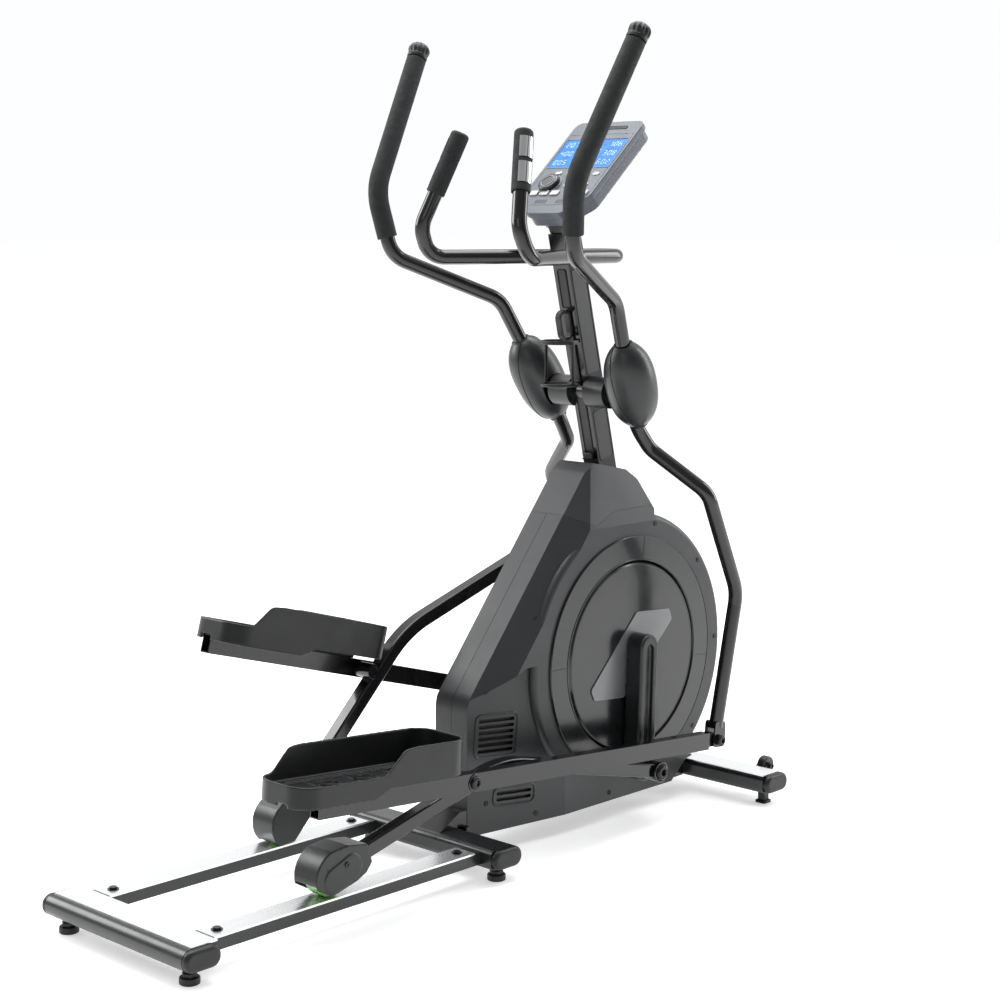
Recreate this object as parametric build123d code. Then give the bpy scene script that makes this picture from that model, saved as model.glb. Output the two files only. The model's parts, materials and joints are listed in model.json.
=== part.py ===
from build123d import *
import math
import os

# Elliptical trainer. +X is the front of the machine, +Y the user's left, +Z up.
# The origin is on the floor, under the middle of the bounding box. Millimetres.

RIGHT, LEFT = -1, 1
SIDES = {RIGHT: "right", LEFT: "left"}

# --- linkage ---------------------------------------------------------------
CRANK_X, CRANK_Z = 493.0, 364.0      # crank axis
CRANK_R = 248.0                      # crank axis to crank pin
ROD_LENGTH = 965.0                   # crank pin to roller axle
TRACK_TOP = 70.0
WHEEL_R = 41.0
ROLL_GAP = 0.3                       # wheel to track at rest
ROLLER_Z = TRACK_TOP + WHEEL_R + ROLL_GAP
PIVOT_X, PIVOT_Z = 424.0, 957.0      # swing arm axis
ROD_HINGE = (347.0, 113.0)           # pedal bar hinge, along and above the roller-pin line
ROD_BEND = (474.0, 117.0)            # corner of the roller arm's bend
FORK = (651.0, 164.0)                # right fork pivot at rest
CRANK_ANGLE = {RIGHT: -2.0, LEFT: 178.0}   # from straight down, towards +X

# --- layers, measured outwards from the middle plane ------------------------
ROD_Y = 158.0
ROD_SIZE = 30.0
BAR_IN, BAR_OUT = 185.0, 211.0
BAR_H = 38.0
TUBE_R = 16.0
WALL = 2.5
LOWER_TUBE_Y = 198.0

# --- base --------------------------------------------------------------------
BAR_W = 80.0
BAR_BOTTOM, BAR_TOP = 31.0, 73.0
PLATE_T = 2.0
CAP_T = 14.0
REAR_X, MIDDLE_X, FRONT_X = -820.0, -47.0, 775.0
REAR_HALF, MIDDLE_HALF, FRONT_HALF = 224.0, 222.0, 288.0
RAIL_W, RAIL_BOTTOM = 50.0, 42.0
TRACK_W, TRACK_T = 55.0, 4.0
SPINE_HALF, SPINE_BOTTOM, SPINE_TOP = 30.0, 50.0, 90.0

# --- housing -----------------------------------------------------------------
DRUM_R = 322.0
SHELL_HALF, SHELL_EDGE = 84.0, 13.0     # round part about the crank
DRUM_ROUND = 20.0
REAR_HALF_W, REAR_FACE_X = 47.0, 8.0    # rear face of the housing
PANEL_FLARE = 0.14                      # how fast the lower side panels widen towards the front
FACET_DEPTH = 58.0                      # how deep the upper side facets run before full width
SLOPE_LOW, SLOPE_HIGH = (8.0, 331.0), (372.0, 783.0)
SHELL_T = 3.0
FLOOR_Z = 45.0
RING_IN, RING_OUT, RING_T = 216.0, 271.0, 4.0
DISC_R = 213.0
CAP_SEAM = 690.0
SEAM_GAP = 0.4

# --- mast ----------------------------------------------------------------------
MAST_W, MAST_D = 45.0, 56.0
MAST_LOW = (469.0, 827.0)
MAST_HIGH = (356.0, 1300.0)

# --- drive -----------------------------------------------------------------------
FLYWHEEL_X, FLYWHEEL_Z, FLYWHEEL_R = 186.0, 232.0, 118.0
FLYWHEEL_PLATE_IN = 52.0
PULLEY_R, SHEAVE_R = 150.0, 22.0
BELT_Y, BELT_W = -44.0, 12.0
BELT_T = 2.5


# ---------------------------------------------------------------- helpers
def box(x0, x1, y0, y1, z0, z1):
    return Pos((x0 + x1) / 2, (y0 + y1) / 2, (z0 + z1) / 2) * Box(x1 - x0, y1 - y0, z1 - z0)


def rod_y(x, z, r, y0, y1):
    """Cylinder along Y between y0 and y1."""
    return Pos(x, (y0 + y1) / 2, z) * Rot(90, 0, 0) * Cylinder(r, abs(y1 - y0))


def rod_z(x, y, r, z0, z1):
    return Pos(x, y, (z0 + z1) / 2) * Cylinder(r, z1 - z0)


def ring_y(x, z, r_out, r_in, y0, y1):
    low, high = min(y0, y1), max(y0, y1)
    return rod_y(x, z, r_out, low, high) - rod_y(x, z, r_in, low - 1, high + 1)


def side_plate(outline, y0, y1):
    """Extrude an XZ outline between y0 and y1."""
    low, high = min(y0, y1), max(y0, y1)
    return Pos(0, high, 0) * extrude(Plane.XZ * outline, high - low)


def polygon(points):
    return make_face(Polyline(*points, close=True))


def tube(points, radii, r_out, r_in=None):
    """Round tube along straight runs joined by tangent arcs."""
    path = FilletPolyline(*points, radius=radii) if radii else Line(*points)
    start = Plane(origin=path @ 0, z_dir=path % 0)
    outer = sweep(start * Circle(r_out), path=path)
    if r_in is None:
        return outer
    return outer - sweep(start * Circle(r_in), path=path)


def turned(point, angle):
    """Turn an XZ offset by angle degrees, from +X towards +Z."""
    a = math.radians(angle)
    return (point[0] * math.cos(a) - point[1] * math.sin(a),
            point[0] * math.sin(a) + point[1] * math.cos(a))


def place(solid, x, z, angle):
    """Move a solid drawn around the Y axis to (x, z), turned from +X towards +Z."""
    return Pos(x, 0, z) * Rot(0, -angle, 0) * solid


def flip(solid, side):
    return solid if side == LEFT else mirror(solid, about=Plane.XZ)


def pair(solid):
    return Compound([solid, mirror(solid, about=Plane.XZ)])


def group(solids):
    found = []
    for item in solids:
        found.extend(item.solids())
    return Compound(found)


# ---------------------------------------------------------------- linkage state
def rod_state(side):
    """Pin, roller and hinge places of one roller arm, and its angle, at rest."""
    a = math.radians(CRANK_ANGLE[side])
    pin = (CRANK_X + CRANK_R * math.sin(a), CRANK_Z - CRANK_R * math.cos(a))
    rise = pin[1] - ROLLER_Z
    roller = (pin[0] - math.sqrt(ROD_LENGTH ** 2 - rise ** 2), ROLLER_Z)
    angle = math.degrees(math.asin(rise / ROD_LENGTH))
    dx, dz = turned(ROD_HINGE, angle)
    return {"pin": pin, "roller": roller, "angle": angle, "hinge": (roller[0] + dx, roller[1] + dz)}


def fork_place(hinge, arm, bar):
    """Fork pivot from the swing arm's length and the pedal bar's length."""
    dx, dz = PIVOT_X - hinge[0], PIVOT_Z - hinge[1]
    reach = math.hypot(dx, dz)
    along = (bar ** 2 - arm ** 2 + reach ** 2) / (2 * reach)
    off = math.sqrt(bar ** 2 - along ** 2)
    ux, uz = dx / reach, dz / reach
    return (hinge[0] + ux * along + uz * off, hinge[1] + uz * along - ux * off)


STATE = {side: rod_state(side) for side in SIDES}
SWING_LENGTH = math.dist(FORK, (PIVOT_X, PIVOT_Z))
BAR_LENGTH = math.dist(FORK, STATE[RIGHT]["hinge"])
for side_key, state in STATE.items():
    state["fork"] = fork_place(state["hinge"], SWING_LENGTH, BAR_LENGTH)
    state["bar_angle"] = math.degrees(math.atan2(state["fork"][1] - state["hinge"][1],
                                                 state["fork"][0] - state["hinge"][0]))
    state["swing_angle"] = math.degrees(math.atan2(state["fork"][0] - PIVOT_X,
                                                   PIVOT_Z - state["fork"][1]))
SWING_REST = STATE[RIGHT]["swing_angle"]


# ---------------------------------------------------------------- base
def bar_outline(rounded_front, inner_radius):
    """Crossbar section in XZ: round on the outer side, with its own corner radius on the other."""
    h = BAR_TOP - BAR_BOTTOM
    sign = 1 if rounded_front else -1
    outline = Rectangle(BAR_W, h)
    for side, radius in ((sign, h / 2 - 1), (-sign, inner_radius)):
        corners = outline.vertices().sort_by_distance((side * BAR_W / 2, 0))
        outline = fillet(corners[:2], radius)
    return outline


def crossbar(x, half, rounded_front):
    length = half - CAP_T
    outline = Pos(x, (BAR_BOTTOM + BAR_TOP) / 2) * bar_outline(rounded_front, 12)
    solid = side_plate(outline, -length, length)
    inner = side_plate(offset(outline, -WALL), -length, length)
    return solid - inner


def bar_end_cap(x, half, rounded_front):
    outline = Pos(x, (BAR_BOTTOM + BAR_TOP) / 2) * bar_outline(rounded_front, (BAR_TOP - BAR_BOTTOM) / 2 - 1)
    cap = side_plate(outline, half - CAP_T, half)
    outer_face = cap.faces().sort_by(Axis.Y)[-1]
    return pair(fillet(outer_face.edges(), 8))


def end_caps():
    return group([bar_end_cap(REAR_X, REAR_HALF, False), bar_end_cap(MIDDLE_X, MIDDLE_HALF, True),
                  bar_end_cap(FRONT_X, FRONT_HALF, True)])


def crossbar_plates():
    rear = box(REAR_X - 18, REAR_X + BAR_W / 2, -REAR_HALF + CAP_T, REAR_HALF - CAP_T,
               BAR_TOP, BAR_TOP + PLATE_T)
    front = box(FRONT_X - BAR_W / 2, FRONT_X + 20, -FRONT_HALF + CAP_T, FRONT_HALF - CAP_T,
                BAR_TOP, BAR_TOP + PLATE_T)
    notch = box(FRONT_X - BAR_W / 2 - 1, FRONT_X - 8, -SPINE_HALF - 14, SPINE_HALF + 14,
                BAR_TOP - 1, BAR_TOP + PLATE_T + 1)
    return group([rear, front - notch])


RAIL_START = REAR_X + BAR_W / 2
RAIL_END = MIDDLE_X - BAR_W / 2
BOLT_XS = (RAIL_START + 39, RAIL_END - 47)


def rails():
    outer = box(RAIL_START, RAIL_END, ROD_Y - RAIL_W / 2, ROD_Y + RAIL_W / 2,
                RAIL_BOTTOM, TRACK_TOP - TRACK_T)
    inner = box(RAIL_START, RAIL_END, ROD_Y - RAIL_W / 2 + WALL, ROD_Y + RAIL_W / 2 - WALL,
                RAIL_BOTTOM + WALL, TRACK_TOP - TRACK_T - WALL)
    return pair(outer - inner)


def tracks():
    track = box(RAIL_START + 12, RAIL_END - 22, ROD_Y - TRACK_W / 2, ROD_Y + TRACK_W / 2,
                TRACK_TOP - TRACK_T, TRACK_TOP)
    return pair(track)


def foot(x, y):
    stem = rod_z(x, y, 8, 14, BAR_BOTTOM)
    pad = rod_z(x, y, 19, 0, 14)
    return chamfer((pad + stem).edges().filter_by(GeomType.CIRCLE).group_by(Axis.Z)[0], 1.5)


def square_foot(x, y):
    block = box(x - 11, x + 11, y - 11, y + 11, 0, BAR_BOTTOM)
    return fillet(block.edges().filter_by(Axis.Z), 3)


def fixed_feet():
    feet = [foot(x, s * 185) for x in (REAR_X - 4, MIDDLE_X) for s in SIDES]
    feet += [square_foot(FRONT_X, s * 247) for s in SIDES]
    return group(feet)


def hex_bolt(x, y, z0, head_r=8, head_h=3.5, washer_r=11):
    washer = rod_z(x, y, washer_r, z0, z0 + 1.5)
    head = Pos(x, y, z0 + 1.5) * extrude(RegularPolygon(head_r, 6), head_h)
    return washer + head


# The upright leans like the mast and carries the crank, and the mast stands on it.
LEAN = (MAST_HIGH[0] - MAST_LOW[0]) / (MAST_HIGH[1] - MAST_LOW[1])
LEAN_ANGLE = math.degrees(math.atan(LEAN))
MAST_FOOT_Z = 700.0


def mast_x(z):
    return MAST_LOW[0] + LEAN * (z - MAST_LOW[1])


def leaning_post(z0, z1, half_y, depth, shrink=0.0):
    """A box section that follows the mast's lean, cut level at both ends."""
    d = depth / 2 - shrink
    outline = polygon([(mast_x(z0) - d, z0), (mast_x(z0) + d, z0),
                       (mast_x(z1) + d, z1), (mast_x(z1) - d, z1)])
    return side_plate(outline, -half_y + shrink, half_y - shrink)


def base_frame():
    spine = box(MIDDLE_X + BAR_W / 2, FRONT_X - BAR_W / 2, -SPINE_HALF, SPINE_HALF,
                SPINE_BOTTOM, SPINE_TOP)
    spine -= box(MIDDLE_X + BAR_W / 2, FRONT_X - BAR_W / 2, -SPINE_HALF + WALL,
                 SPINE_HALF - WALL, SPINE_BOTTOM + WALL, SPINE_TOP - WALL)
    rear_block = side_plate(polygon([(MIDDLE_X - 25, BAR_TOP), (-14, 104), (7, 104), (7, BAR_TOP)]),
                            -46, 46)
    rear_plate = box(MIDDLE_X + BAR_W / 2, 4, -60, 60, BAR_BOTTOM + 2, BAR_TOP)
    front_clamp = box(FRONT_X - BAR_W / 2 - 34, FRONT_X - BAR_W / 2, -42, 42, BAR_BOTTOM + 2, 96)
    front_lip = box(FRONT_X - BAR_W / 2, FRONT_X - 10, -42, 42, BAR_TOP, BAR_TOP + 5)
    post = leaning_post(SPINE_TOP, MAST_FOOT_Z, MAST_W / 2, MAST_D)
    post -= leaning_post(SPINE_TOP, MAST_FOOT_Z, MAST_W / 2, MAST_D, WALL)
    boss = ring_y(CRANK_X, CRANK_Z, 32, 26.1, -34, 34)
    web = box(CRANK_X + 30, mast_x(CRANK_Z) - MAST_D / 2 + 4, -12, 12, CRANK_Z - 26, CRANK_Z + 26)
    strut_top = (CRANK_X - 8, CRANK_Z - 30)
    strut = side_plate(polygon([(strut_top[0] - 14, strut_top[1]), (strut_top[0] + 16, strut_top[1]),
                                (CRANK_X - 30, SPINE_TOP), (CRANK_X - 66, SPINE_TOP)]), -12, 12)
    plates = []
    for y0 in (FLYWHEEL_PLATE_IN, -FLYWHEEL_PLATE_IN - 4):
        outline = polygon([(FLYWHEEL_X - 60, SPINE_TOP - 8), (FLYWHEEL_X + 60, SPINE_TOP - 8),
                           (FLYWHEEL_X + 20, FLYWHEEL_Z + 24), (FLYWHEEL_X - 20, FLYWHEEL_Z + 24)])
        plate = side_plate(outline, y0, y0 + 4)
        plates.append(plate - rod_y(FLYWHEEL_X, FLYWHEEL_Z, 8.0, y0 - 1, y0 + 5))
        inner, outer = sorted((math.copysign(SPINE_HALF - 1, y0), y0 + (4 if y0 > 0 else 0)))
        plates.append(box(FLYWHEEL_X - 58, FLYWHEEL_X + 58, inner, outer, SPINE_TOP - 14, SPINE_TOP - 8))
    frame = spine + rear_block + rear_plate + front_clamp + front_lip + post + boss + web + strut
    for plate in plates:
        frame += plate
    return frame


def mast():
    outer = leaning_post(MAST_FOOT_Z, MAST_HIGH[1], MAST_W / 2, MAST_D)
    inner = leaning_post(MAST_FOOT_Z, MAST_HIGH[1], MAST_W / 2, MAST_D, WALL)
    sleeve = ring_y(PIVOT_X, PIVOT_Z, 18, SHAFT_R, -MAST_W / 2 + 0.5, MAST_W / 2 - 0.5)
    bore = rod_y(PIVOT_X, PIVOT_Z, SHAFT_R, -60, 60)
    return (outer - inner + sleeve) - bore


SHAFT_R = 12.5
HUB_IN, HUB_OUT = 79.0, 152.0


def pivot_shaft():
    """Cross shaft with a spacer drum each side of the mast."""
    shaft = rod_y(PIVOT_X, PIVOT_Z, SHAFT_R, -HUB_OUT - 2, HUB_OUT + 2)
    for s in SIDES:
        drum = rod_y(PIVOT_X, PIVOT_Z, 34, s * (MAST_W / 2 + 0.05), s * (HUB_IN - 0.5))
        washer = rod_y(PIVOT_X, PIVOT_Z, 18, s * (HUB_OUT + 0.5), s * (HUB_OUT + 3))
        shaft = shaft + drum + washer
    return shaft


# ---------------------------------------------------------------- housing
def body_outline():
    """Side shape of the whole housing but for the round part."""
    body = polygon([(REAR_FACE_X, FLOOR_Z), (640, FLOOR_Z), (706, 100), (706, 190), (CRANK_X, CRANK_Z),
                    (575, 688), (536, 757), (503, 781), (440, 795), (400, 803), SLOPE_HIGH, SLOPE_LOW])
    for corner, radius in ((SLOPE_LOW, 60), (SLOPE_HIGH, 40), ((536, 757), 20)):
        body = fillet([body.vertices().sort_by_distance(corner)[0]], radius)
    return body


def drum_outline():
    """The round part, the wide front of the cap above it and the flush panel below it."""
    front = polygon([(392, 600), (588, 640), (536, 757), (503, 781), (440, 795), (426, 740)])
    panel = polygon([(300, FLOOR_Z), (640, FLOOR_Z), (706, 100), (706, 190), (CRANK_X, CRANK_Z), (300, 150)])
    sharp = Pos(CRANK_X, CRANK_Z) * Circle(DRUM_R) + front + panel
    smooth = offset(offset(offset(sharp, DRUM_ROUND), -2 * DRUM_ROUND), DRUM_ROUND)
    return smooth & Pos(CRANK_X, FLOOR_Z + 400) * Rectangle(1000, 800)


def rounded_slab(outline, half, edge):
    """Outline extruded both ways from the middle plane, with its side edges rounded."""
    slab = side_plate(outline, -half, half)
    rims = slab.faces().filter_by(Plane.XZ).edges()
    return fillet(rims, edge)


def taper_block(shrink):
    """Front view of the housing: straight sides that lean in towards the top."""
    low, high = SHELL_HALF + 1 - shrink, 46 - shrink
    points = [(-low, 0), (low, 0), (low, 660), (high, 812), (-high, 812), (-low, 660)]
    return extrude(Plane.YZ * polygon(points), 1000)


def flared(rear_half, full_half, depth):
    """Plan section, with the rear face on X = 0, that widens to full width at a depth."""
    return polygon([(0, -rear_half), (depth, -full_half), (900, -full_half),
                    (900, full_half), (depth, full_half), (0, rear_half)])


SLOPE_ANGLE = math.degrees(math.atan2(SLOPE_HIGH[1] - SLOPE_LOW[1], SLOPE_HIGH[0] - SLOPE_LOW[0]))
FACET_FOOT = ((REAR_FACE_X - 20, 330.0), (REAR_FACE_X + 42, 350.0), (150.0, 391.0), (420.0, 391.0))


def narrow_body(shrink):
    """The housing behind the round part: steep facets above, slowly widening panels below."""
    slab = side_plate(offset(body_outline(), -shrink), -SHELL_HALF + shrink, SHELL_HALF - shrink)
    rear, full = REAR_HALF_W - shrink, SHELL_HALF - shrink
    facets = extrude(flared(rear, full, FACET_DEPTH), 1400, both=True)
    facets = Pos(SLOPE_LOW[0], 0, SLOPE_LOW[1]) * Rot(0, 90 - SLOPE_ANGLE, 0) * Pos(shrink, 0, 0) * facets
    panels = extrude(flared(rear, full, (full - rear) / PANEL_FLARE), 1400, both=True)
    panels = Pos(REAR_FACE_X + shrink, 0, 0) * panels
    above = side_plate(polygon([*FACET_FOOT, (900, 391), (900, 900), (-20, 900)]), -200, 200)
    return ((slab & above) & facets) + ((slab - above) & panels)


def housing_full():
    solids = []
    for shrink in (0, SHELL_T):
        drum = rounded_slab(offset(drum_outline(), -shrink), SHELL_HALF - shrink, SHELL_EDGE - shrink)
        solids.append((narrow_body(shrink) + drum) & taper_block(shrink))
    shell = solids[0] - solids[1]
    shell -= rod_y(CRANK_X, CRANK_Z, RING_IN, -SHELL_HALF - 1, SHELL_HALF + 1)
    shell -= leaning_post(CAP_SEAM, MAST_HIGH[1], MAST_W / 2 + 1.5, MAST_D + 3)
    passage = SPINE_HALF + 1.5
    shell -= box(-20, 40, -passage, passage, SPINE_BOTTOM - 1.5, SPINE_TOP + 1.5)
    shell -= box(560, FRONT_X, -passage, passage, SPINE_BOTTOM - 1.5, SPINE_TOP + 14)
    for s in SIDES:
        shell -= vent_slots(s)
    return shell


def panel_half(x):
    """Half width of the lower side panels."""
    return min(SHELL_HALF, REAR_HALF_W + PANEL_FLARE * (x - REAR_FACE_X))


UPPER_VENT = (84.0, 254.0, 6)            # middle of a louvre group, and how many louvres
LOWER_VENT = (132.0, 116.0, 2)
VENT_W, VENT_H, VENT_STEP, VENT_TILT = 94.0, 7.5, 13.0, 4.0


def vent_slots(side):
    """Two groups of slanted louvres low on the rear of each side."""
    cuts = []
    for x, z, rows in (UPPER_VENT, LOWER_VENT):
        for row in range(rows):
            offset_z = (row - (rows - 1) / 2) * VENT_STEP
            slot = Rot(90, 0, 0) * extrude(SlotOverall(VENT_W, VENT_H), 14, both=True)
            cuts.append(Pos(x, side * panel_half(x), z) * Rot(0, VENT_TILT, 0) * Pos(0, 0, offset_z) * slot)
    return cuts


def spine_zone():
    """Where the rear strip lies: the rear face and the rear slope."""
    points = [(-20, 110), (19, 110), (19, 326), (382, 776), (382, 815), (-20, 815)]
    return polygon(points)


STRIP_HALF = REAR_HALF_W - 0.5


def cap_zone(lift):
    """Everything above the cap's seam, which dips on the side facets."""
    seam = [(-50, CAP_SEAM + 10), (300, CAP_SEAM + 10), (372, CAP_SEAM - 20), (440, CAP_SEAM + 6),
            (900, CAP_SEAM + 6)]
    return polygon([(x, z + lift) for x, z in seam] + [(900, 900), (-50, 900)])


def housing_parts():
    full = housing_full()
    cap = full & side_plate(cap_zone(SEAM_GAP / 2), -200, 200)
    body = full - side_plate(cap_zone(-SEAM_GAP / 2), -200, 200)
    strip = body & side_plate(spine_zone(), -STRIP_HALF, STRIP_HALF)
    outline = body_outline()
    strip -= side_plate(offset(outline, 1) - offset(outline, -0.9), -0.5, 0.5)
    rest = body - side_plate(spine_zone(), -STRIP_HALF - SEAM_GAP, STRIP_HALF + SEAM_GAP)
    left = rest & box(-50, 900, SEAM_GAP / 2, 200, 0, 900)
    right = rest & box(-50, 900, -200, -SEAM_GAP / 2, 0, 900)
    return cap, strip, left, right


def housing_rings():
    ring = ring_y(CRANK_X, CRANK_Z, RING_OUT, RING_IN, SHELL_HALF, SHELL_HALF + RING_T)
    edges = ring.edges().filter_by(GeomType.CIRCLE).group_by(Axis.Y)[-1]
    return pair(chamfer(edges, 2))


# ---------------------------------------------------------------- drive
AXLE_R = 12.0
DISC_Y0, DISC_Y1 = 80.0, 89.0
PLATE_Y1 = 91.5
ARM_Y0, ARM_Y1 = 94.0, 138.0
BEARING_R = 26.0


def crank_axle():
    axle = rod_y(CRANK_X, CRANK_Z, AXLE_R, -ARM_Y0, ARM_Y0)
    collar = rod_y(CRANK_X, CRANK_Z, 18, -40, -36)
    return axle + collar


def bearings():
    rings = []
    for s in SIDES:
        rings.append(ring_y(CRANK_X, CRANK_Z, BEARING_R, AXLE_R + 0.05, s * 20, s * 34))
        rings.append(ring_y(FLYWHEEL_X, FLYWHEEL_Z, 15.0, 8.05, s * 10, s * 20))
    return group(rings)


def drive_pulley():
    y0, y1 = BELT_Y - BELT_W / 2 - 2, BELT_Y + BELT_W / 2 + 2
    rim = ring_y(CRANK_X, CRANK_Z, PULLEY_R, PULLEY_R - 14, y0, y1)
    web = rod_y(CRANK_X, CRANK_Z, PULLEY_R - 13, BELT_Y - 2, BELT_Y + 2)
    hub = rod_y(CRANK_X, CRANK_Z, 26, y0, -40)
    wheel = rim + web + hub
    for i in range(6):
        dx, dz = turned((88, 0), 60 * i)
        wheel -= rod_y(CRANK_X + dx, CRANK_Z + dz, 26, BELT_Y - 10, BELT_Y + 10)
    return wheel - rod_y(CRANK_X, CRANK_Z, AXLE_R, -100, 0) - rod_y(CRANK_X, CRANK_Z, 18.0, -40, -30)


COVER_RISE = 26.0                    # how far the cover runs past the crank axis


def crank_arm(side):
    """Crank arm in its moulded cover, drawn pointing straight down, with a recessed slot."""
    half = 29.0
    length = CRANK_R
    middle = (COVER_RISE - length) / 2
    outline = Pos(0, middle) * SlotCenterToCenter(length + COVER_RISE, 2 * half, rotation=90)
    arm = side_plate(outline, ARM_Y0, ARM_Y1)
    arm = chamfer(arm.faces().sort_by(Axis.Y)[-1].edges(), 4)
    slot = Pos(0, -98) * SlotCenterToCenter(236, 26, rotation=90)
    arm -= side_plate(slot, ARM_Y1 - 10, ARM_Y1 + 1)
    arm += rod_y(0, -length, 13, ARM_Y1 - 1, ARM_Y1 + 1.5)
    arm += rod_y(0, -length + 52, 9, ARM_Y1 - 12, ARM_Y1 - 6)
    arm = place(arm, CRANK_X, CRANK_Z, CRANK_ANGLE[side])
    return flip(arm, side)


def crank_discs():
    """Dished round covers that turn with the crank."""
    disc = rod_y(CRANK_X, CRANK_Z, DISC_R, DISC_Y0, DISC_Y1)
    disc = chamfer(disc.edges().filter_by(GeomType.CIRCLE).group_by(Axis.Y)[-1], 5)
    disc -= rod_y(CRANK_X, CRANK_Z, DISC_R - 8, DISC_Y0 - 1, DISC_Y0 + 5)
    disc += rod_y(CRANK_X, CRANK_Z, 30, DISC_Y0, DISC_Y0 + 6)
    disc -= rod_y(CRANK_X, CRANK_Z, AXLE_R, 0, 200)
    return pair(disc)


def disc_plates():
    """Slanted four-sided trim plate behind each crank arm."""
    plates = []
    for side in SIDES:
        outline = polygon([(-142, -60), (6, 100), (120, 96), (130, 70), (-32, -90), (-130, -84)])
        outline = fillet(outline.vertices(), 9)
        plate = side_plate(outline, DISC_Y1, PLATE_Y1) - rod_y(0, 0, AXLE_R, 0, 200)
        plate = place(plate, CRANK_X, CRANK_Z, CRANK_ANGLE[side])
        plates.append(flip(plate, side))
    return group(plates)


def flywheel():
    disc = rod_y(FLYWHEEL_X, FLYWHEEL_Z, FLYWHEEL_R, -12, 20)
    disc -= ring_y(FLYWHEEL_X, FLYWHEEL_Z, FLYWHEEL_R - 20, 34, -13, -6)
    disc -= ring_y(FLYWHEEL_X, FLYWHEEL_Z, FLYWHEEL_R - 20, 34, 14, 21)
    y0, y1 = BELT_Y - BELT_W / 2, BELT_Y + BELT_W / 2
    sheave = rod_y(FLYWHEEL_X, FLYWHEEL_Z, SHEAVE_R, y0, y1) + rod_y(FLYWHEEL_X, FLYWHEEL_Z, 17, y1, -12)
    bored = (disc + sheave) - rod_y(FLYWHEEL_X, FLYWHEEL_Z, 15.05, -21, 21)
    return bored - rod_y(FLYWHEEL_X, FLYWHEEL_Z, 10.0, -60, 60)


def flywheel_axle():
    y = FLYWHEEL_PLATE_IN
    axle = rod_y(FLYWHEEL_X, FLYWHEEL_Z, 8.0, -y - 4, y + 4)
    for s in SIDES:
        nut = Rot(90, 0, 0) * extrude(RegularPolygon(9, 6), 2.5)
        axle += Pos(FLYWHEEL_X, s * (y - 1.5) + 1.25, FLYWHEEL_Z) * nut
    return axle


def drive_belt():
    """Flat belt round the crank pulley and the flywheel's sheave."""
    dx, dz = FLYWHEEL_X - CRANK_X, FLYWHEEL_Z - CRANK_Z
    span = math.hypot(dx, dz)
    heading = math.degrees(math.atan2(dz, dx))
    spread = math.degrees(math.acos((PULLEY_R - SHEAVE_R) / span))

    def loop(grow):
        points = []
        for sign in (1, -1):
            ux, uz = turned((1, 0), heading + sign * spread)
            big = (CRANK_X + ux * (PULLEY_R + grow), CRANK_Z + uz * (PULLEY_R + grow))
            small = (FLYWHEEL_X + ux * (SHEAVE_R + grow), FLYWHEEL_Z + uz * (SHEAVE_R + grow))
            points.append((big, small))
        (big_a, small_a), (big_b, small_b) = points
        ux, uz = turned((1, 0), heading)
        tip = (FLYWHEEL_X + ux * (SHEAVE_R + grow), FLYWHEEL_Z + uz * (SHEAVE_R + grow))
        back = (CRANK_X - ux * (PULLEY_R + grow), CRANK_Z - uz * (PULLEY_R + grow))
        edges = [Line(big_a, small_a), ThreePointArc(small_a, tip, small_b), Line(small_b, big_b),
                 ThreePointArc(big_b, back, big_a)]
        return make_face(edges)

    return side_plate(loop(BELT_T + 0.3) - loop(0.3), BELT_Y - BELT_W / 2, BELT_Y + BELT_W / 2)


def arc_band(x, z, r_in, r_out, start, sweep_angle, y0, y1):
    band = ring_y(x, z, r_out, r_in, y0, y1)
    points = [(0, 0)]
    steps = 4
    for i in range(steps + 1):
        points.append(turned((r_out * 1.6, 0), start + sweep_angle * i / steps))
    return band & (Pos(x, 0, z) * side_plate(polygon(points), y0 - 1, y1 + 1))


def brake_bracket():
    """Magnet shoe that stands off the flywheel's rim."""
    shoe = arc_band(FLYWHEEL_X, FLYWHEEL_Z, FLYWHEEL_R + 4, FLYWHEEL_R + 14, 35, 70, -10, 18)
    x, z = turned((FLYWHEEL_R + 12, 0), 38)
    arm = box(FLYWHEEL_X + x - 4, FLYWHEEL_X + x + 40, -8, 16, FLYWHEEL_Z + z - 5, FLYWHEEL_Z + z + 5)
    return shoe + arm


def tension_motor():
    """Geared motor that sets the magnet shoe's distance, on the upright's rear face."""
    z0 = 560.0
    x1 = mast_x(z0 + 60) - MAST_D / 2 - 0.5
    body = box(x1 - 36, x1 - 6, -24, 24, z0, z0 + 52)
    bracket = box(x1 - 6, x1, -20, 20, z0 - 8, z0 + 60)
    shaft = rod_y(x1 - 21, z0 + 26, 4, 24, 36)
    reel = rod_y(x1 - 21, z0 + 26, 13, 30, 38)
    return fillet(body.edges().filter_by(Axis.Y), 4) + bracket + shaft + reel


# ---------------------------------------------------------------- roller arm
EYE_R = 22.0
BARREL_R = 16.0


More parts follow.
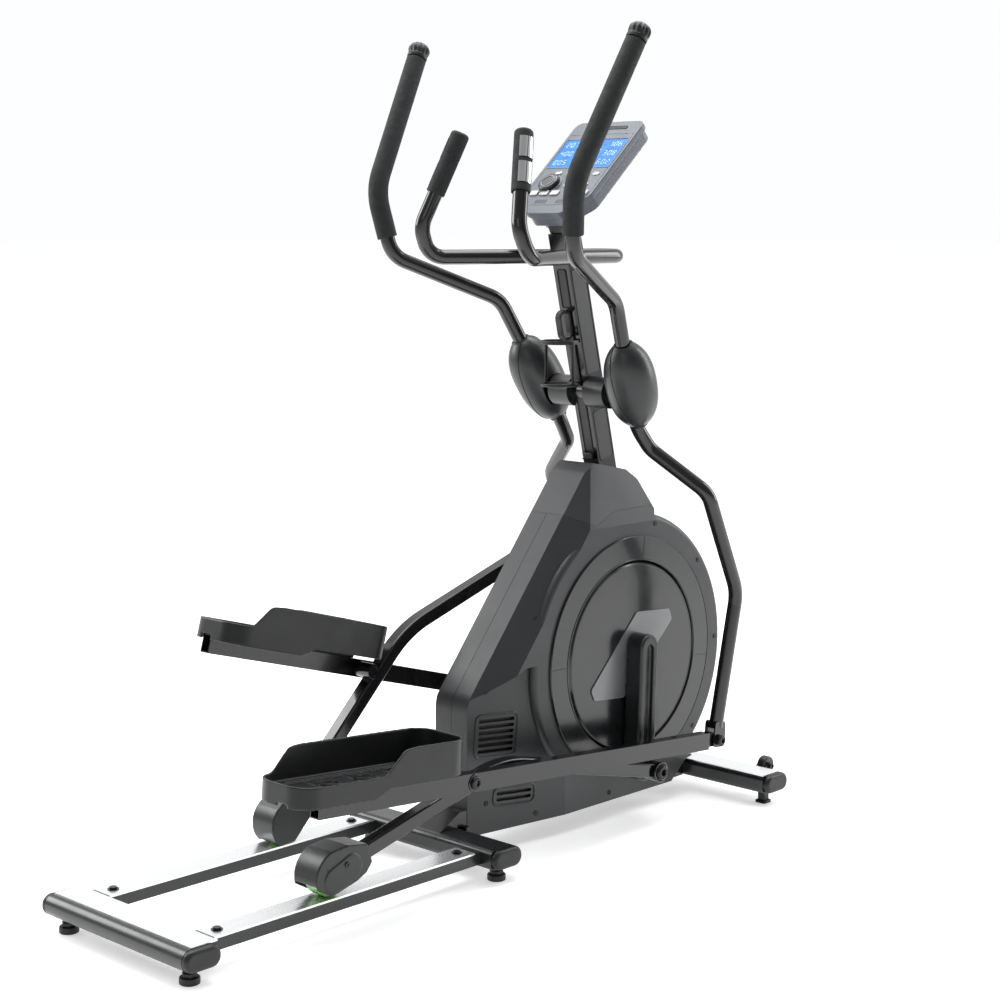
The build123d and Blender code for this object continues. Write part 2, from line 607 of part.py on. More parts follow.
def roller_arm(side):
    """Bent square tube from the roller fork to the crank pin, drawn on its roller-pin line."""
    bend_angle = math.degrees(math.atan2(ROD_BEND[1], ROD_BEND[0]))
    start = turned((62, 0), bend_angle)
    pts = [(start[0], ROD_Y, start[1]), (ROD_BEND[0], ROD_Y, ROD_BEND[1]), (ROD_LENGTH, ROD_Y, 0)]
    path = FilletPolyline(*pts, radius=260)
    plane = Plane(origin=path @ 0, x_dir=(0, 1, 0), z_dir=path % 0)
    arm = sweep(plane * RectangleRounded(ROD_SIZE, ROD_SIZE, 4), path=path)
    arm -= sweep(plane * Rectangle(ROD_SIZE - 2 * WALL, ROD_SIZE - 2 * WALL), path=path)
    arm += rod_y(ROD_LENGTH, 0, EYE_R, ROD_Y - 17, ROD_Y + 17)
    arm += rod_y(ROD_LENGTH, 0, EYE_R - 3, ROD_Y + 17, ROD_Y + 21)
    arm += rod_y(ROD_HINGE[0], ROD_HINGE[1], BARREL_R, ROD_Y - 20, ROD_Y + 25)
    fork_outline = polygon([(-16, -14), (10, -16), (82, -11), (82, 11), (10, 16), (-16, 14)])
    for y0, y1 in ((ROD_Y - 24, ROD_Y - 20), (ROD_Y + 20, ROD_Y + 24)):
        cheek = side_plate(fillet(fork_outline.vertices(), 6), y0, y1)
        cheek -= rod_y(0, 0, 6.05, y0 - 1, y1 + 1)
        arm += place(cheek, 0, 0, bend_angle)
    bridge = box(56, 80, ROD_Y - 24, ROD_Y + 24, -10, 10)
    arm += place(bridge, 0, 0, bend_angle)
    state = STATE[side]
    return flip(place(arm, state["roller"][0], state["roller"][1], state["angle"]), side)


HOOD_HALF, HOOD_T = 33.0, 3.0


def hood_outline():
    """Side shape of the roller cover, in the roller arm's straight direction."""
    crown = ThreePointArc((-52, -2), (-36, 38), (0, 53))
    rest = [(0, 53), (40, 47), (86, 27), (88, -12), (70, -26), (44, -31), (-22, -31), (-52, -2)]
    return make_face([crown, Polyline(*rest)])


def roller_hood(side):
    bend_angle = math.degrees(math.atan2(ROD_BEND[1], ROD_BEND[0]))
    outline = hood_outline()
    outer = side_plate(outline, ROD_Y - HOOD_HALF, ROD_Y + HOOD_HALF)
    inner = side_plate(offset(outline, -HOOD_T), ROD_Y - HOOD_HALF + HOOD_T, ROD_Y + HOOD_HALF - HOOD_T)
    opening = polygon([(-60, -4), (-44, 10), (44, 10), (60, -16), (76, -16), (60, -60), (-60, -60)])
    open_floor = side_plate(opening, ROD_Y - HOOD_HALF + HOOD_T, ROD_Y + HOOD_HALF - HOOD_T)
    mouth = box(70, 100, ROD_Y - ROD_SIZE / 2 - 0.5, ROD_Y + ROD_SIZE / 2 + 0.5,
                -ROD_SIZE / 2 - 0.5, ROD_SIZE / 2 + 0.5)
    hood = outer - inner - open_floor - mouth
    panel = Pos(14, 0) * SlotCenterToCenter(46, 50, rotation=8)
    raised = side_plate(panel, ROD_Y + HOOD_HALF - 0.5, ROD_Y + HOOD_HALF + 2)
    hood += raised & side_plate(offset(outline, -5), ROD_Y, ROD_Y + 60)
    hood = place(hood, 0, 0, bend_angle)
    state = STATE[side]
    return flip(place(hood, state["roller"][0], state["roller"][1], state["angle"]), side)


def roller_axle(side):
    x, z = STATE[side]["roller"]
    pin = rod_y(x, z, 6.0, ROD_Y - 26, ROD_Y + 26)
    head = rod_y(x, z, 9.0, ROD_Y + 24.6, ROD_Y + 28)
    nut = rod_y(x, z, 9.0, ROD_Y - 28, ROD_Y - 24.6)
    return flip(pin + head + nut, side)


def roller_wheel(side):
    x, z = STATE[side]["roller"]
    wheel = ring_y(x, z, WHEEL_R, 6.05, ROD_Y - 18, ROD_Y + 18)
    wheel = chamfer(wheel.edges().filter_by(GeomType.CIRCLE).sort_by(SortBy.RADIUS)[-2:], 3)
    for y0 in (ROD_Y - 18.5, ROD_Y + 13):
        wheel -= ring_y(x, z, 27, 13, y0, y0 + 5.5)
    return flip(wheel, side)


# ---------------------------------------------------------------- pedal bar and pedal
BAR_REAR = 408.0                     # pedal bar behind its hinge
TONGUE = 34.0


def bar_frame(side, solid):
    """Place a solid drawn with its origin at the hinge and the bar along +X."""
    state = STATE[side]
    return flip(place(solid, state["hinge"][0], state["hinge"][1], state["bar_angle"]), side)


def pedal_bar(side):
    end = BAR_LENGTH - TONGUE
    bar = box(-BAR_REAR, end, BAR_IN, BAR_OUT, -BAR_H / 2, BAR_H / 2)
    bar -= box(-BAR_REAR, end, BAR_IN + WALL, BAR_OUT - WALL, -BAR_H / 2 + WALL, BAR_H / 2 - WALL)
    tongue_y0, tongue_y1 = BAR_IN + 4, BAR_OUT - 4
    tongue = box(end - 20, BAR_LENGTH, tongue_y0, tongue_y1, -14, 14)
    tongue += rod_y(BAR_LENGTH, 0, 14, tongue_y0, tongue_y1)
    plug = box(end - 4, end, BAR_IN + 1, BAR_OUT - 1, -BAR_H / 2 + 1, BAR_H / 2 - 1)
    bar = bar + tongue + plug - rod_y(BAR_LENGTH, 0, 6.05, BAR_IN - 5, BAR_OUT + 5)
    bar += rod_y(0, 0, 15.5, BAR_OUT - 1, BAR_OUT + 3)
    bar += rod_y(0, 0, 12, BAR_IN - 1.6, BAR_IN + 1)
    return bar_frame(side, bar)


PEDAL_LENGTH = 430.0
PEDAL_IN, PEDAL_OUT = 112.0, 255.0
PEDAL_BOTTOM, PEDAL_FLOOR, PEDAL_LOW, PEDAL_HIGH = 14.0, 38.0, 56.0, 104.0
PEDAL_T = 5.0
# The trays sit on different notches of their racks: rear end and height on each bar.
PEDAL_SEAT = {RIGHT: (-489.0, 0.0), LEFT: (-413.0, -5.5)}


def pedal_plan(shrink=0.0):
    width = PEDAL_OUT - PEDAL_IN
    plan = RectangleRounded(PEDAL_LENGTH - 2 * shrink, width - 2 * shrink, 46 - shrink)
    return Pos(PEDAL_LENGTH / 2, (PEDAL_IN + PEDAL_OUT) / 2) * plan


def rim_cut(foot, top):
    """Side shape that is taken off above the low rear rim."""
    cut = polygon([(-60, PEDAL_LOW), (foot, PEDAL_LOW), (top, PEDAL_HIGH - 3), (top + 40, PEDAL_HIGH + 0.5),
                   (top + 40, 200), (-60, 200)])
    for corner in ((foot, PEDAL_LOW), (top, PEDAL_HIGH - 3)):
        cut = fillet([cut.vertices().sort_by_distance(corner)[0]], 22)
    return cut


def pedal_tray():
    """Foot tray from its rear end: low rim behind, high wall inboard and round the front."""
    middle = (PEDAL_IN + PEDAL_OUT) / 2
    tray = Pos(0, 0, PEDAL_BOTTOM) * extrude(pedal_plan(), PEDAL_HIGH - PEDAL_BOTTOM)
    tray -= Pos(0, 0, PEDAL_FLOOR) * extrude(pedal_plan(PEDAL_T), 200)
    tray -= extrude(pedal_plan(PEDAL_T), PEDAL_FLOOR - PEDAL_T)
    tray -= side_plate(rim_cut(44, 84), 0, middle)
    tray -= side_plate(rim_cut(206, 252), middle, 400)
    ceiling = PEDAL_FLOOR - PEDAL_T
    under = polygon([(150, 0), (222, ceiling), (500, ceiling), (500, -20), (150, -20)])
    tray -= side_plate(under, 0, 400)
    for i in range(7):
        x = 48 + 48 * i
        tray += box(x, x + 5, PEDAL_IN + 30, PEDAL_OUT - 30, PEDAL_FLOOR - 1, PEDAL_FLOOR + 2)
    return tray


def pedal_rack(height):
    """Notched seat between the tray and the bar."""
    top = PEDAL_FLOOR - PEDAL_T + 0.5
    base = BAR_H / 2 + 0.1 - height
    rack = box(30, 396, BAR_IN + 2, BAR_OUT - 2, base, top)
    if height == 0:
        for i in range(6):
            rack -= rod_y(60 + 60 * i, base, 6, BAR_IN, BAR_OUT)
    return rack


def pedal(side):
    rear, height = PEDAL_SEAT[side]
    tray = pedal_tray() + pedal_rack(height)
    tray -= box(-10, 12, BAR_IN - 1, BAR_OUT + 1, -20, BAR_H / 2 + 1 - height)
    return bar_frame(side, Pos(rear, 0, height) * tray)


# ---------------------------------------------------------------- swing arm
def swing_points():
    """Centre line of the left swing arm, from the handle's end to the fork."""
    return [(232, 304, 1690), (74, 279, 1402), (96, 257, 1262), (334, 166, 1158), (466, 112, 886),
            (504, 122, 832), (566, 236, 738), (694, 222, 500), (656, LOWER_TUBE_Y, 192)]


SWING_RADII = [120, 60, 70, 160, 40, 50, 90]


def swing_frame(side, solid):
    """Turn a solid drawn for the right arm's rest angle to this side's, and flip it over."""
    turn = STATE[side]["swing_angle"] - SWING_REST
    moved = Pos(PIVOT_X, 0, PIVOT_Z) * Rot(0, -turn, 0) * Pos(-PIVOT_X, 0, -PIVOT_Z) * solid
    return flip(moved, side)


def swing_arm(side):
    points = swing_points()
    path = FilletPolyline(*points, radius=SWING_RADII)
    plane = Plane(origin=path @ 0, z_dir=path % 0)
    arm = sweep(plane * Circle(TUBE_R), path=path)
    hub = rod_y(PIVOT_X, PIVOT_Z, 21, HUB_IN, HUB_OUT)
    arm += hub
    arm -= rod_y(PIVOT_X, PIVOT_Z, SHAFT_R + 0.05, HUB_IN - 20, HUB_OUT + 60)
    fork_x, fork_z = FORK
    lean = math.degrees(math.atan2(694 - fork_x, 500 - fork_z))
    outline = polygon([(-19, -16), (20, -16), (20, 14), (16, 42), (-19, 42)])
    outline = fillet(outline.vertices(), 7)
    inner_gap = 2.6
    for y0, y1 in ((BAR_IN + 4 - inner_gap - 3.4, BAR_IN + 4 - inner_gap),
                   (BAR_OUT - 4 + inner_gap, BAR_OUT - 4 + inner_gap + 3.4)):
        cheek = side_plate(outline, y0, y1)
        arm += Pos(fork_x, 0, fork_z) * Rot(0, lean, 0) * cheek
    crown = box(-18, 18, BAR_IN, BAR_OUT, 26, 41)
    arm += Pos(fork_x, 0, fork_z) * Rot(0, lean, 0) * crown
    arm += rod_y(fork_x, fork_z, 6.0, BAR_IN - 3, BAR_OUT + 5)
    arm += rod_y(fork_x, fork_z, 11, BAR_OUT + 2, BAR_OUT + 7)
    return swing_frame(side, arm)


COVER_LOW, COVER_HIGH = (472.0, 118.0, 884.0), (376.0, 150.0, 1074.0)


def egg(shrink):
    """Egg of revolution on the Z axis, cut flat at both small ends."""
    low, high = -100 + shrink, 100 - shrink
    curve = Spline((17, low), (38 - shrink, -78), (56 - shrink, 0), (43 - shrink, 72), (20, high))
    half = make_face([curve, Polyline((20, high), (0, high), (0, low), (17, low))])
    return revolve(Plane.XZ * half, Axis.Z)


def swing_cover(side):
    """Two-piece egg over the joint of the handle, the hub and the lower tube."""
    middle = (Vector(*COVER_LOW) + Vector(*COVER_HIGH)) / 2
    axis = Plane(origin=middle, z_dir=Vector(*COVER_HIGH) - Vector(*COVER_LOW))
    cover = axis * (egg(0) - egg(3))
    points = swing_points()
    path = FilletPolyline(*points, radius=SWING_RADII)
    plane = Plane(origin=path @ 0, z_dir=path % 0)
    cover -= sweep(plane * Circle(TUBE_R + 0.6), path=path)
    cover -= rod_y(PIVOT_X, PIVOT_Z, 35.5, 60, HUB_IN + 14)
    cover -= rod_y(PIVOT_X, PIVOT_Z, 21.6, 60, HUB_OUT + 1)
    inboard = cover & box(0, 900, 0, middle.Y - 0.2, 700, 1300)
    outboard = cover & box(0, 900, middle.Y + 0.2, 400, 700, 1300)
    return group([swing_frame(side, inboard), swing_frame(side, outboard)])


FOAM_R = 21.5


def hand_grip(side):
    """Foam sleeve on the top of the moving handle, following its bend."""
    top, corner, low = swing_points()[:3]
    start = [top[i] + (corner[i] - top[i]) * 0.03 for i in range(3)]
    end = [corner[i] + (low[i] - corner[i]) * 0.72 for i in range(3)]
    path = FilletPolyline(tuple(start), corner, tuple(end), radius=SWING_RADII[0])
    plane = Plane(origin=path @ 0, z_dir=path % 0)
    sleeve = sweep(plane * Circle(FOAM_R), path=path) - sweep(plane * Circle(TUBE_R + 0.05), path=path)
    return swing_frame(side, sleeve)


def grip_knob(side):
    """Fluted bulb on the end of the handle."""
    top, corner = swing_points()[:2]
    direction = Vector(*top) - Vector(*corner)
    plane = Plane(origin=Vector(*top) + direction.normalized() * 0.1, z_dir=direction)
    crown = Spline((22, -1), (21, 14), (12, 26), (0, 28))
    profile = make_face([Polyline((0, -8), (22, -8), (22, -1)), crown, Line((0, 28), (0, -8))])
    bulb = revolve(Plane.XZ * profile, Axis.Z)
    bulb -= Pos(0, 0, -10) * Cylinder(TUBE_R + 0.05, 20)
    for i in range(8):
        bulb -= Rot(0, 0, 45 * i) * Pos(26, 0, 12) * Rot(0, -18, 0) * Cylinder(6, 40)
    return swing_frame(side, plane * bulb)


# ---------------------------------------------------------------- transport wheels
TRANSPORT_X, TRANSPORT_Z, TRANSPORT_R = 838.0, 67.0, 22.0
TRANSPORT_Y = 205.0


def transport_wheel(side):
    wheel = ring_y(TRANSPORT_X, TRANSPORT_Z, TRANSPORT_R, 5.05, TRANSPORT_Y - 10, TRANSPORT_Y + 10)
    wheel = fillet(wheel.edges().filter_by(GeomType.CIRCLE).sort_by(SortBy.RADIUS)[-2:], 4)
    return flip(wheel, side)


def transport_mounts():
    """Bent ears on the front crossbar that carry the transport wheels' pins."""
    x0 = FRONT_X + BAR_W / 2 - 3
    outline = polygon([(x0, BAR_BOTTOM + 12), (x0, BAR_TOP - 10), (TRANSPORT_X - 4, TRANSPORT_Z + 9),
                       (TRANSPORT_X + 8, TRANSPORT_Z + 6), (TRANSPORT_X + 8, TRANSPORT_Z - 6),
                       (TRANSPORT_X - 4, TRANSPORT_Z - 9)])
    ears = [side_plate(outline, TRANSPORT_Y + dy, TRANSPORT_Y + dy + 3) for dy in (-14, 11)]
    pin = rod_y(TRANSPORT_X, TRANSPORT_Z, 5.0, TRANSPORT_Y - 16, TRANSPORT_Y + 16)
    one = ears[0] + ears[1] + pin
    return one + mirror(one, about=Plane.XZ)


def front_crossbar():
    bar = crossbar(FRONT_X, FRONT_HALF, True)
    return group([bar + transport_mounts()])


# ---------------------------------------------------------------- handlebar and console
GRIP_TOP, GRIP_LOW = (130.0, 92.0, 1503.0), (89.0, 122.0, 1388.0)


def handlebar_points():
    half = [GRIP_TOP, grip_line(1.63), (90, 145, 1252), (345, 46, 1252), (505, 36, 1252)]
    other = [(x, -y, z) for x, y, z in reversed(half)]
    return half + other


def fixed_handlebar():
    radii = [55, 50, 70, 36, 36, 70, 50, 55]
    bar = tube(handlebar_points(), radii, TUBE_R, TUBE_R - WALL)
    lug = box(mast_x(1240) + MAST_D / 2 + 0.05, 492, -9, 9, 1240, 1264)
    return bar + lug


def grip_line(fraction):
    return tuple(a + (b - a) * fraction for a, b in zip(GRIP_TOP, GRIP_LOW))


def fixed_grips():
    direction = Vector(*GRIP_LOW) - Vector(*GRIP_TOP)
    plane = Plane(origin=Vector(*GRIP_TOP) - direction.normalized() * 8, z_dir=direction)
    length = direction.length + 12
    sleeve = extrude(plane * Circle(20), length)
    sleeve = fillet(sleeve.edges().filter_by(GeomType.CIRCLE).group_by(Axis.Z)[-1], 8)
    hole = extrude(Plane(origin=GRIP_TOP, z_dir=direction) * Circle(TUBE_R + 0.02), length + 20)
    return pair(sleeve - hole)


def pulse_sensors():
    """Two bright metal contact plates round the outboard half of each fixed grip."""
    direction = Vector(*GRIP_LOW) - Vector(*GRIP_TOP)
    outward = Vector(0.37, 0.93, 0)
    outward -= direction * (outward.dot(direction) / direction.dot(direction))
    bands = []
    for start, end in ((0.10, 0.46), (0.54, 0.90)):
        plane = Plane(origin=grip_line(start), x_dir=outward, z_dir=direction)
        half_ring = Circle(21.2) - Circle(20.02) - Pos(-22, 0) * Rectangle(44, 50)
        bands.append(pair(extrude(plane * half_ring, direction.length * (end - start))))
    return group(bands)


CONSOLE_TILT = 41.7
CONSOLE_ORIGIN = (398.0, 0.0, 1442.0)
CONSOLE_L, CONSOLE_W = 300.0, 196.0


def console_frame(solid):
    """Place a solid drawn with +X up the console's face and +Z out of it."""
    return Pos(*CONSOLE_ORIGIN) * Rot(0, -CONSOLE_TILT, 0) * solid


def console_plan(shrink=0.0):
    l, w = CONSOLE_L / 2 - shrink, CONSOLE_W / 2 - shrink
    points = [(-l, -w * 0.5), (-l * 0.62, -w), (l, -w), (l, w), (-l * 0.62, w), (-l, w * 0.5)]
    face = polygon(points)
    return fillet(face.vertices(), 20)


def console_back():
    body = Pos(0, 0, -38) * extrude(console_plan(4), 26)
    body -= Pos(0, 0, -35) * extrude(console_plan(7), 30)
    return console_frame(body)


def console_front():
    body = Pos(0, 0, -12) * extrude(console_plan(), 14)
    body -= Pos(0, 0, -15) * extrude(console_plan(4), 13)
    window = Pos(44, 0, 1) * Box(92, 178, 4)
    body -= window
    body -= Pos(-58, 40, 0) * Cylinder(8.5, 20)
    body -= Pos(-30, -30, 0) * extrude(SlotOverall(46, 18, rotation=90), 20, both=True)
    for y in KEY_YS:
        body += Pos(-86, y, 2) * Box(16, 24, 2)
    return console_frame(body)


KEY_YS = (-76, -46, 6, 36, 66)


def console_lens():
    return console_frame(Pos(44, 0, 0.4) * Box(91.6, 177.6, 2.4))


def console_dial():
    knob = Pos(-58, 40, 8.5) * Cylinder(24, 10)
    knob = fillet(knob.edges().filter_by(GeomType.CIRCLE).group_by(Axis.Z)[-1], 4)
    stem = Pos(-58, 40, -1) * Cylinder(8.2, 10)
    return console_frame(knob + stem)


def start_key():
    face = SlotOverall(45, 17, rotation=90)
    return console_frame(Pos(-30, -30, -3) * extrude(face, 8.5))


def console_bracket():
    """Neck from the mast's top to the console's back."""
    plate = console_frame(Pos(0, 0, -56) * extrude(Pos(-86, 0) * RectangleRounded(100, 96, 30), 17.95))
    x, z = mast_x(MAST_HIGH[1]), MAST_HIGH[1]
    outline = polygon([(x - 25, z + 0.05), (x + 25, z + 0.05), (x + 56, z + 96), (x - 34, z + 22)])
    neck = side_plate(outline, -20, 20)
    trimmer = console_frame(Pos(0, 0, 62 - 38.05) * Box(600, 400, 124))
    return neck + plate - trimmer


def bottle_cage():
    """Bent strap cage behind the mast."""
    back_x = mast_x(1050) - MAST_D / 2
    parts = []
    outline = polygon([(mast_x(968) - MAST_D / 2 - 0.1, 968), (mast_x(1135) - MAST_D / 2 - 0.1, 1135),
                       (mast_x(1135) - MAST_D / 2 - 5, 1135), (mast_x(968) - MAST_D / 2 - 5, 968)])
    parts.append(side_plate(outline, -9, 9))
    cx, cz = back_x - 46, 1068
    hoop = Pos(cx, 0, cz) * (Cylinder(41, 9) - Cylinder(37, 12))
    foot_ring = Pos(cx, 0, 976) * (Cylinder(41, 7) - Cylinder(37, 9))
    floor = Pos(cx, 0, 974) * Box(80, 14, 3)
    struts = [box(cx - 4, cx + 4, s * 41 - 4 * (s > 0), s * 41 + 4 * (s < 0), 974, 1070) for s in SIDES]
    link_top = box(cx + 38, mast_x(1068) - MAST_D / 2 - 3, -8, 8, 1064, 1072)
    link_low = box(cx + 38, mast_x(976) - MAST_D / 2 - 3, -8, 8, 972, 980)
    loop = SlotOverall(66, 34, rotation=103) - SlotOverall(56, 24, rotation=103)
    loop = side_plate(Pos(mast_x(1104) - MAST_D / 2 - 19, 1104) * loop, -8, 8)
    cage = parts[0] + hoop + foot_ring + floor + link_top + link_low + loop
    for strut in struts:
        cage += strut
    return cage


# ---------------------------------------------------------------- fasteners
def fasteners():
    """Track bolts, bar bolts and the screws round the housing's drum."""
    items = [hex_bolt(x, s * ROD_Y, TRACK_TOP) for x in BOLT_XS for s in SIDES]
    for s in SIDES:
        items.append(hex_bolt(FRONT_X - 24, s * 32, BAR_TOP + 5))
    for s in SIDES:
        for angle in (75, 39, 0, -42):
            dx, dz = turned((301, 0), angle)
            items.append(rod_y(CRANK_X + dx, CRANK_Z + dz, 4, s * SHELL_HALF, s * (SHELL_HALF + 1.2)))
    return group(items)


# ---------------------------------------------------------------- nodes
def build_nodes():
    cap, strip, left, right = housing_parts()
    nodes = {
        "base_frame": base_frame(),
        "rear_crossbar": crossbar(REAR_X, REAR_HALF, False),
        "middle_crossbar": crossbar(MIDDLE_X, MIDDLE_HALF, True),
        "front_crossbar": front_crossbar(),
        "crossbar_plates": crossbar_plates(),
        "rails": rails(),
        "tracks": tracks(),
        "end_caps": end_caps(),
        "fixed_feet": fixed_feet(),
        "fasteners": fasteners(),
        "mast": mast(),
        "pivot_shaft": pivot_shaft(),
        "housing_cap": cap,
        "housing_spine": strip,
        "housing_left": left,
        "housing_right": right,
        "housing_rings": housing_rings(),
        "bearings": bearings(),
        "drive_belt": drive_belt(),
        "flywheel_axle": flywheel_axle(),
        "brake_bracket": brake_bracket(),
        "tension_motor": tension_motor(),
        "bottle_cage": bottle_cage(),
        "fixed_handlebar": fixed_handlebar(),
        "fixed_grips": fixed_grips(),
        "pulse_sensors": pulse_sensors(),
        "console_bracket": console_bracket(),
        "console_back": console_back(),
        "console_front": console_front(),
        "console_lens": console_lens(),
        "console_dial": console_dial(),
        "start_key": start_key(),
        "crank_axle": crank_axle(),
        "drive_pulley": drive_pulley(),
        "crank_arms": group([crank_arm(side) for side in SIDES]),
        "crank_discs": crank_discs(),
        "disc_plates": disc_plates(),
        "flywheel": flywheel(),
    }
    per_side = {"roller_axle": roller_axle, "roller_wheel": roller_wheel, "roller_arm": roller_arm,
                "roller_hood": roller_hood, "pedal_bar": pedal_bar, "pedal": pedal,
                "swing_arm": swing_arm, "swing_cover": swing_cover, "hand_grip": hand_grip,
                "grip_knob": grip_knob, "transport_wheel": transport_wheel}
    for name, make in per_side.items():
        for side, word in SIDES.items():
            nodes[name + "_" + word] = make(side)
    return nodes


NODES = build_nodes()
os.makedirs("parts", exist_ok=True)
for node_name, shape in NODES.items():
    export_step(shape, "parts/" + node_name + ".step")
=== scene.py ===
import json
import math

import bmesh
import bpy
import numpy as np
from mathutils import Matrix, Vector

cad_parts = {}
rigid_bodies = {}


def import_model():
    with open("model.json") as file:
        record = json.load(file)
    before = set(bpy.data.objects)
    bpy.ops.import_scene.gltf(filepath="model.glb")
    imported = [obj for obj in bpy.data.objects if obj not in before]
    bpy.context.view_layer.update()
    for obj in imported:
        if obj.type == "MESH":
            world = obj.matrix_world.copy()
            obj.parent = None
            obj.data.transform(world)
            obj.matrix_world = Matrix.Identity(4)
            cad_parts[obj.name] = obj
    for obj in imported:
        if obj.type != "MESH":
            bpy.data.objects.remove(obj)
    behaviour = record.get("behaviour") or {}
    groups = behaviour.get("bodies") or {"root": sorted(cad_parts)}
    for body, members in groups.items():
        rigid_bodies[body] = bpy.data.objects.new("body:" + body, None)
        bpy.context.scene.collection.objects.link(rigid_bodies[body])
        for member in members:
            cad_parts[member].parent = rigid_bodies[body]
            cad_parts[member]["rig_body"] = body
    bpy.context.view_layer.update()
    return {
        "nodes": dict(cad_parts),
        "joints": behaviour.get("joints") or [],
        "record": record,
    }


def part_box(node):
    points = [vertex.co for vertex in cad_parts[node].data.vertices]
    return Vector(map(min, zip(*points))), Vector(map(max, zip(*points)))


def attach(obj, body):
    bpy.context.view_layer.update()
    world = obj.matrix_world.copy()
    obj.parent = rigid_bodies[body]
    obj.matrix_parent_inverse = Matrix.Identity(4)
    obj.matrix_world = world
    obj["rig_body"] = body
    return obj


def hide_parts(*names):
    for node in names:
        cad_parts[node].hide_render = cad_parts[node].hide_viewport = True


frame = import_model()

NODES = frame["nodes"]
JOINTS = {joint["name"]: joint for joint in frame["joints"]}
SIDES = {"right": -1, "left": 1}

# Driving places of the machine, in metres and degrees.
CRANK_R = 0.248
CRANK_ANGLE = {"right": -2.0, "left": 178.0}    # from straight down, towards +X
PANEL_FLARE = 0.14                              # the lower side panels widen towards the front
BAR_LENGTH = 0.7877                             # fork pivot back to the pedal bar's hinge
CONSOLE_TILT = 41.7
CONSOLE_PLACE = Vector((0.398, 0.0, 1.442))
MAST_LOW, MAST_HIGH = Vector((0.469, 0, 0.827)), Vector((0.356, 0, 1.300))
MAST_HALF_Y, MAST_HALF_X = 0.0225, 0.028
COVER_LOW, COVER_HIGH = Vector((0.472, 0.118, 0.884)), Vector((0.376, 0.150, 1.074))
HANDLE_TOP, HANDLE_CORNER = Vector((0.232, 0.304, 1.690)), Vector((0.074, 0.279, 1.402))

# Distances from the middle plane to the faces that carry small parts.
NARROW_HALF, DRUM_HALF = 0.047, 0.084           # housing: at its rear, and at the drum
RING_FACE, DISC_FACE = 0.0880, 0.0888           # dark outer ring, turning disc
CRANK_PIN_FACE = 0.179
FORK_OUTER, FORK_INNER = 0.2175, 0.1820
BAR_OUTER, HINGE_CAP_FACE = 0.2110, 0.2140      # pedal bar at its hinge
BARREL_INNER = 0.1375
ROLLER_MIDDLE, ROLLER_HALF = 0.158, 0.0128
HOOD_FACE, HOOD_SCREW_FACE = 0.0333, 0.0352     # from the roller's own axle point
TRAY_MIDDLE = 0.1835
WHEEL_HALF, WHEEL_PIN_FACE = 0.0098, 0.2212     # transport wheels


# ---------------------------------------------------------------- materials
def tint(colour, factor):
    return tuple(min(1.0, part * factor) for part in colour) + (1.0,)


def noise(tree, vector, scale, detail=4.0, rough=0.55):
    node = tree.nodes.new("ShaderNodeTexNoise")
    node.inputs["Scale"].default_value = scale
    node.inputs["Detail"].default_value = detail
    node.inputs["Roughness"].default_value = rough
    tree.links.new(vector, node.inputs["Vector"])
    return node.outputs["Fac"]


def cells(tree, vector, scale):
    node = tree.nodes.new("ShaderNodeTexVoronoi")
    node.inputs["Scale"].default_value = scale
    tree.links.new(vector, node.inputs["Vector"])
    return node.outputs["Distance"]


PATCH_START, PATCH_END = 0.3, 0.7               # useful range of a noise value


def remap(tree, value, low, high, start=PATCH_START, end=PATCH_END):
    node = tree.nodes.new("ShaderNodeMapRange")
    node.inputs["From Min"].default_value = start
    node.inputs["From Max"].default_value = end
    node.inputs["To Min"].default_value = low
    node.inputs["To Max"].default_value = high
    tree.links.new(value, node.inputs["Value"])
    return node.outputs["Result"]


COAT_ROUGHNESS, BUMP_DEPTH = 0.05, 0.0004


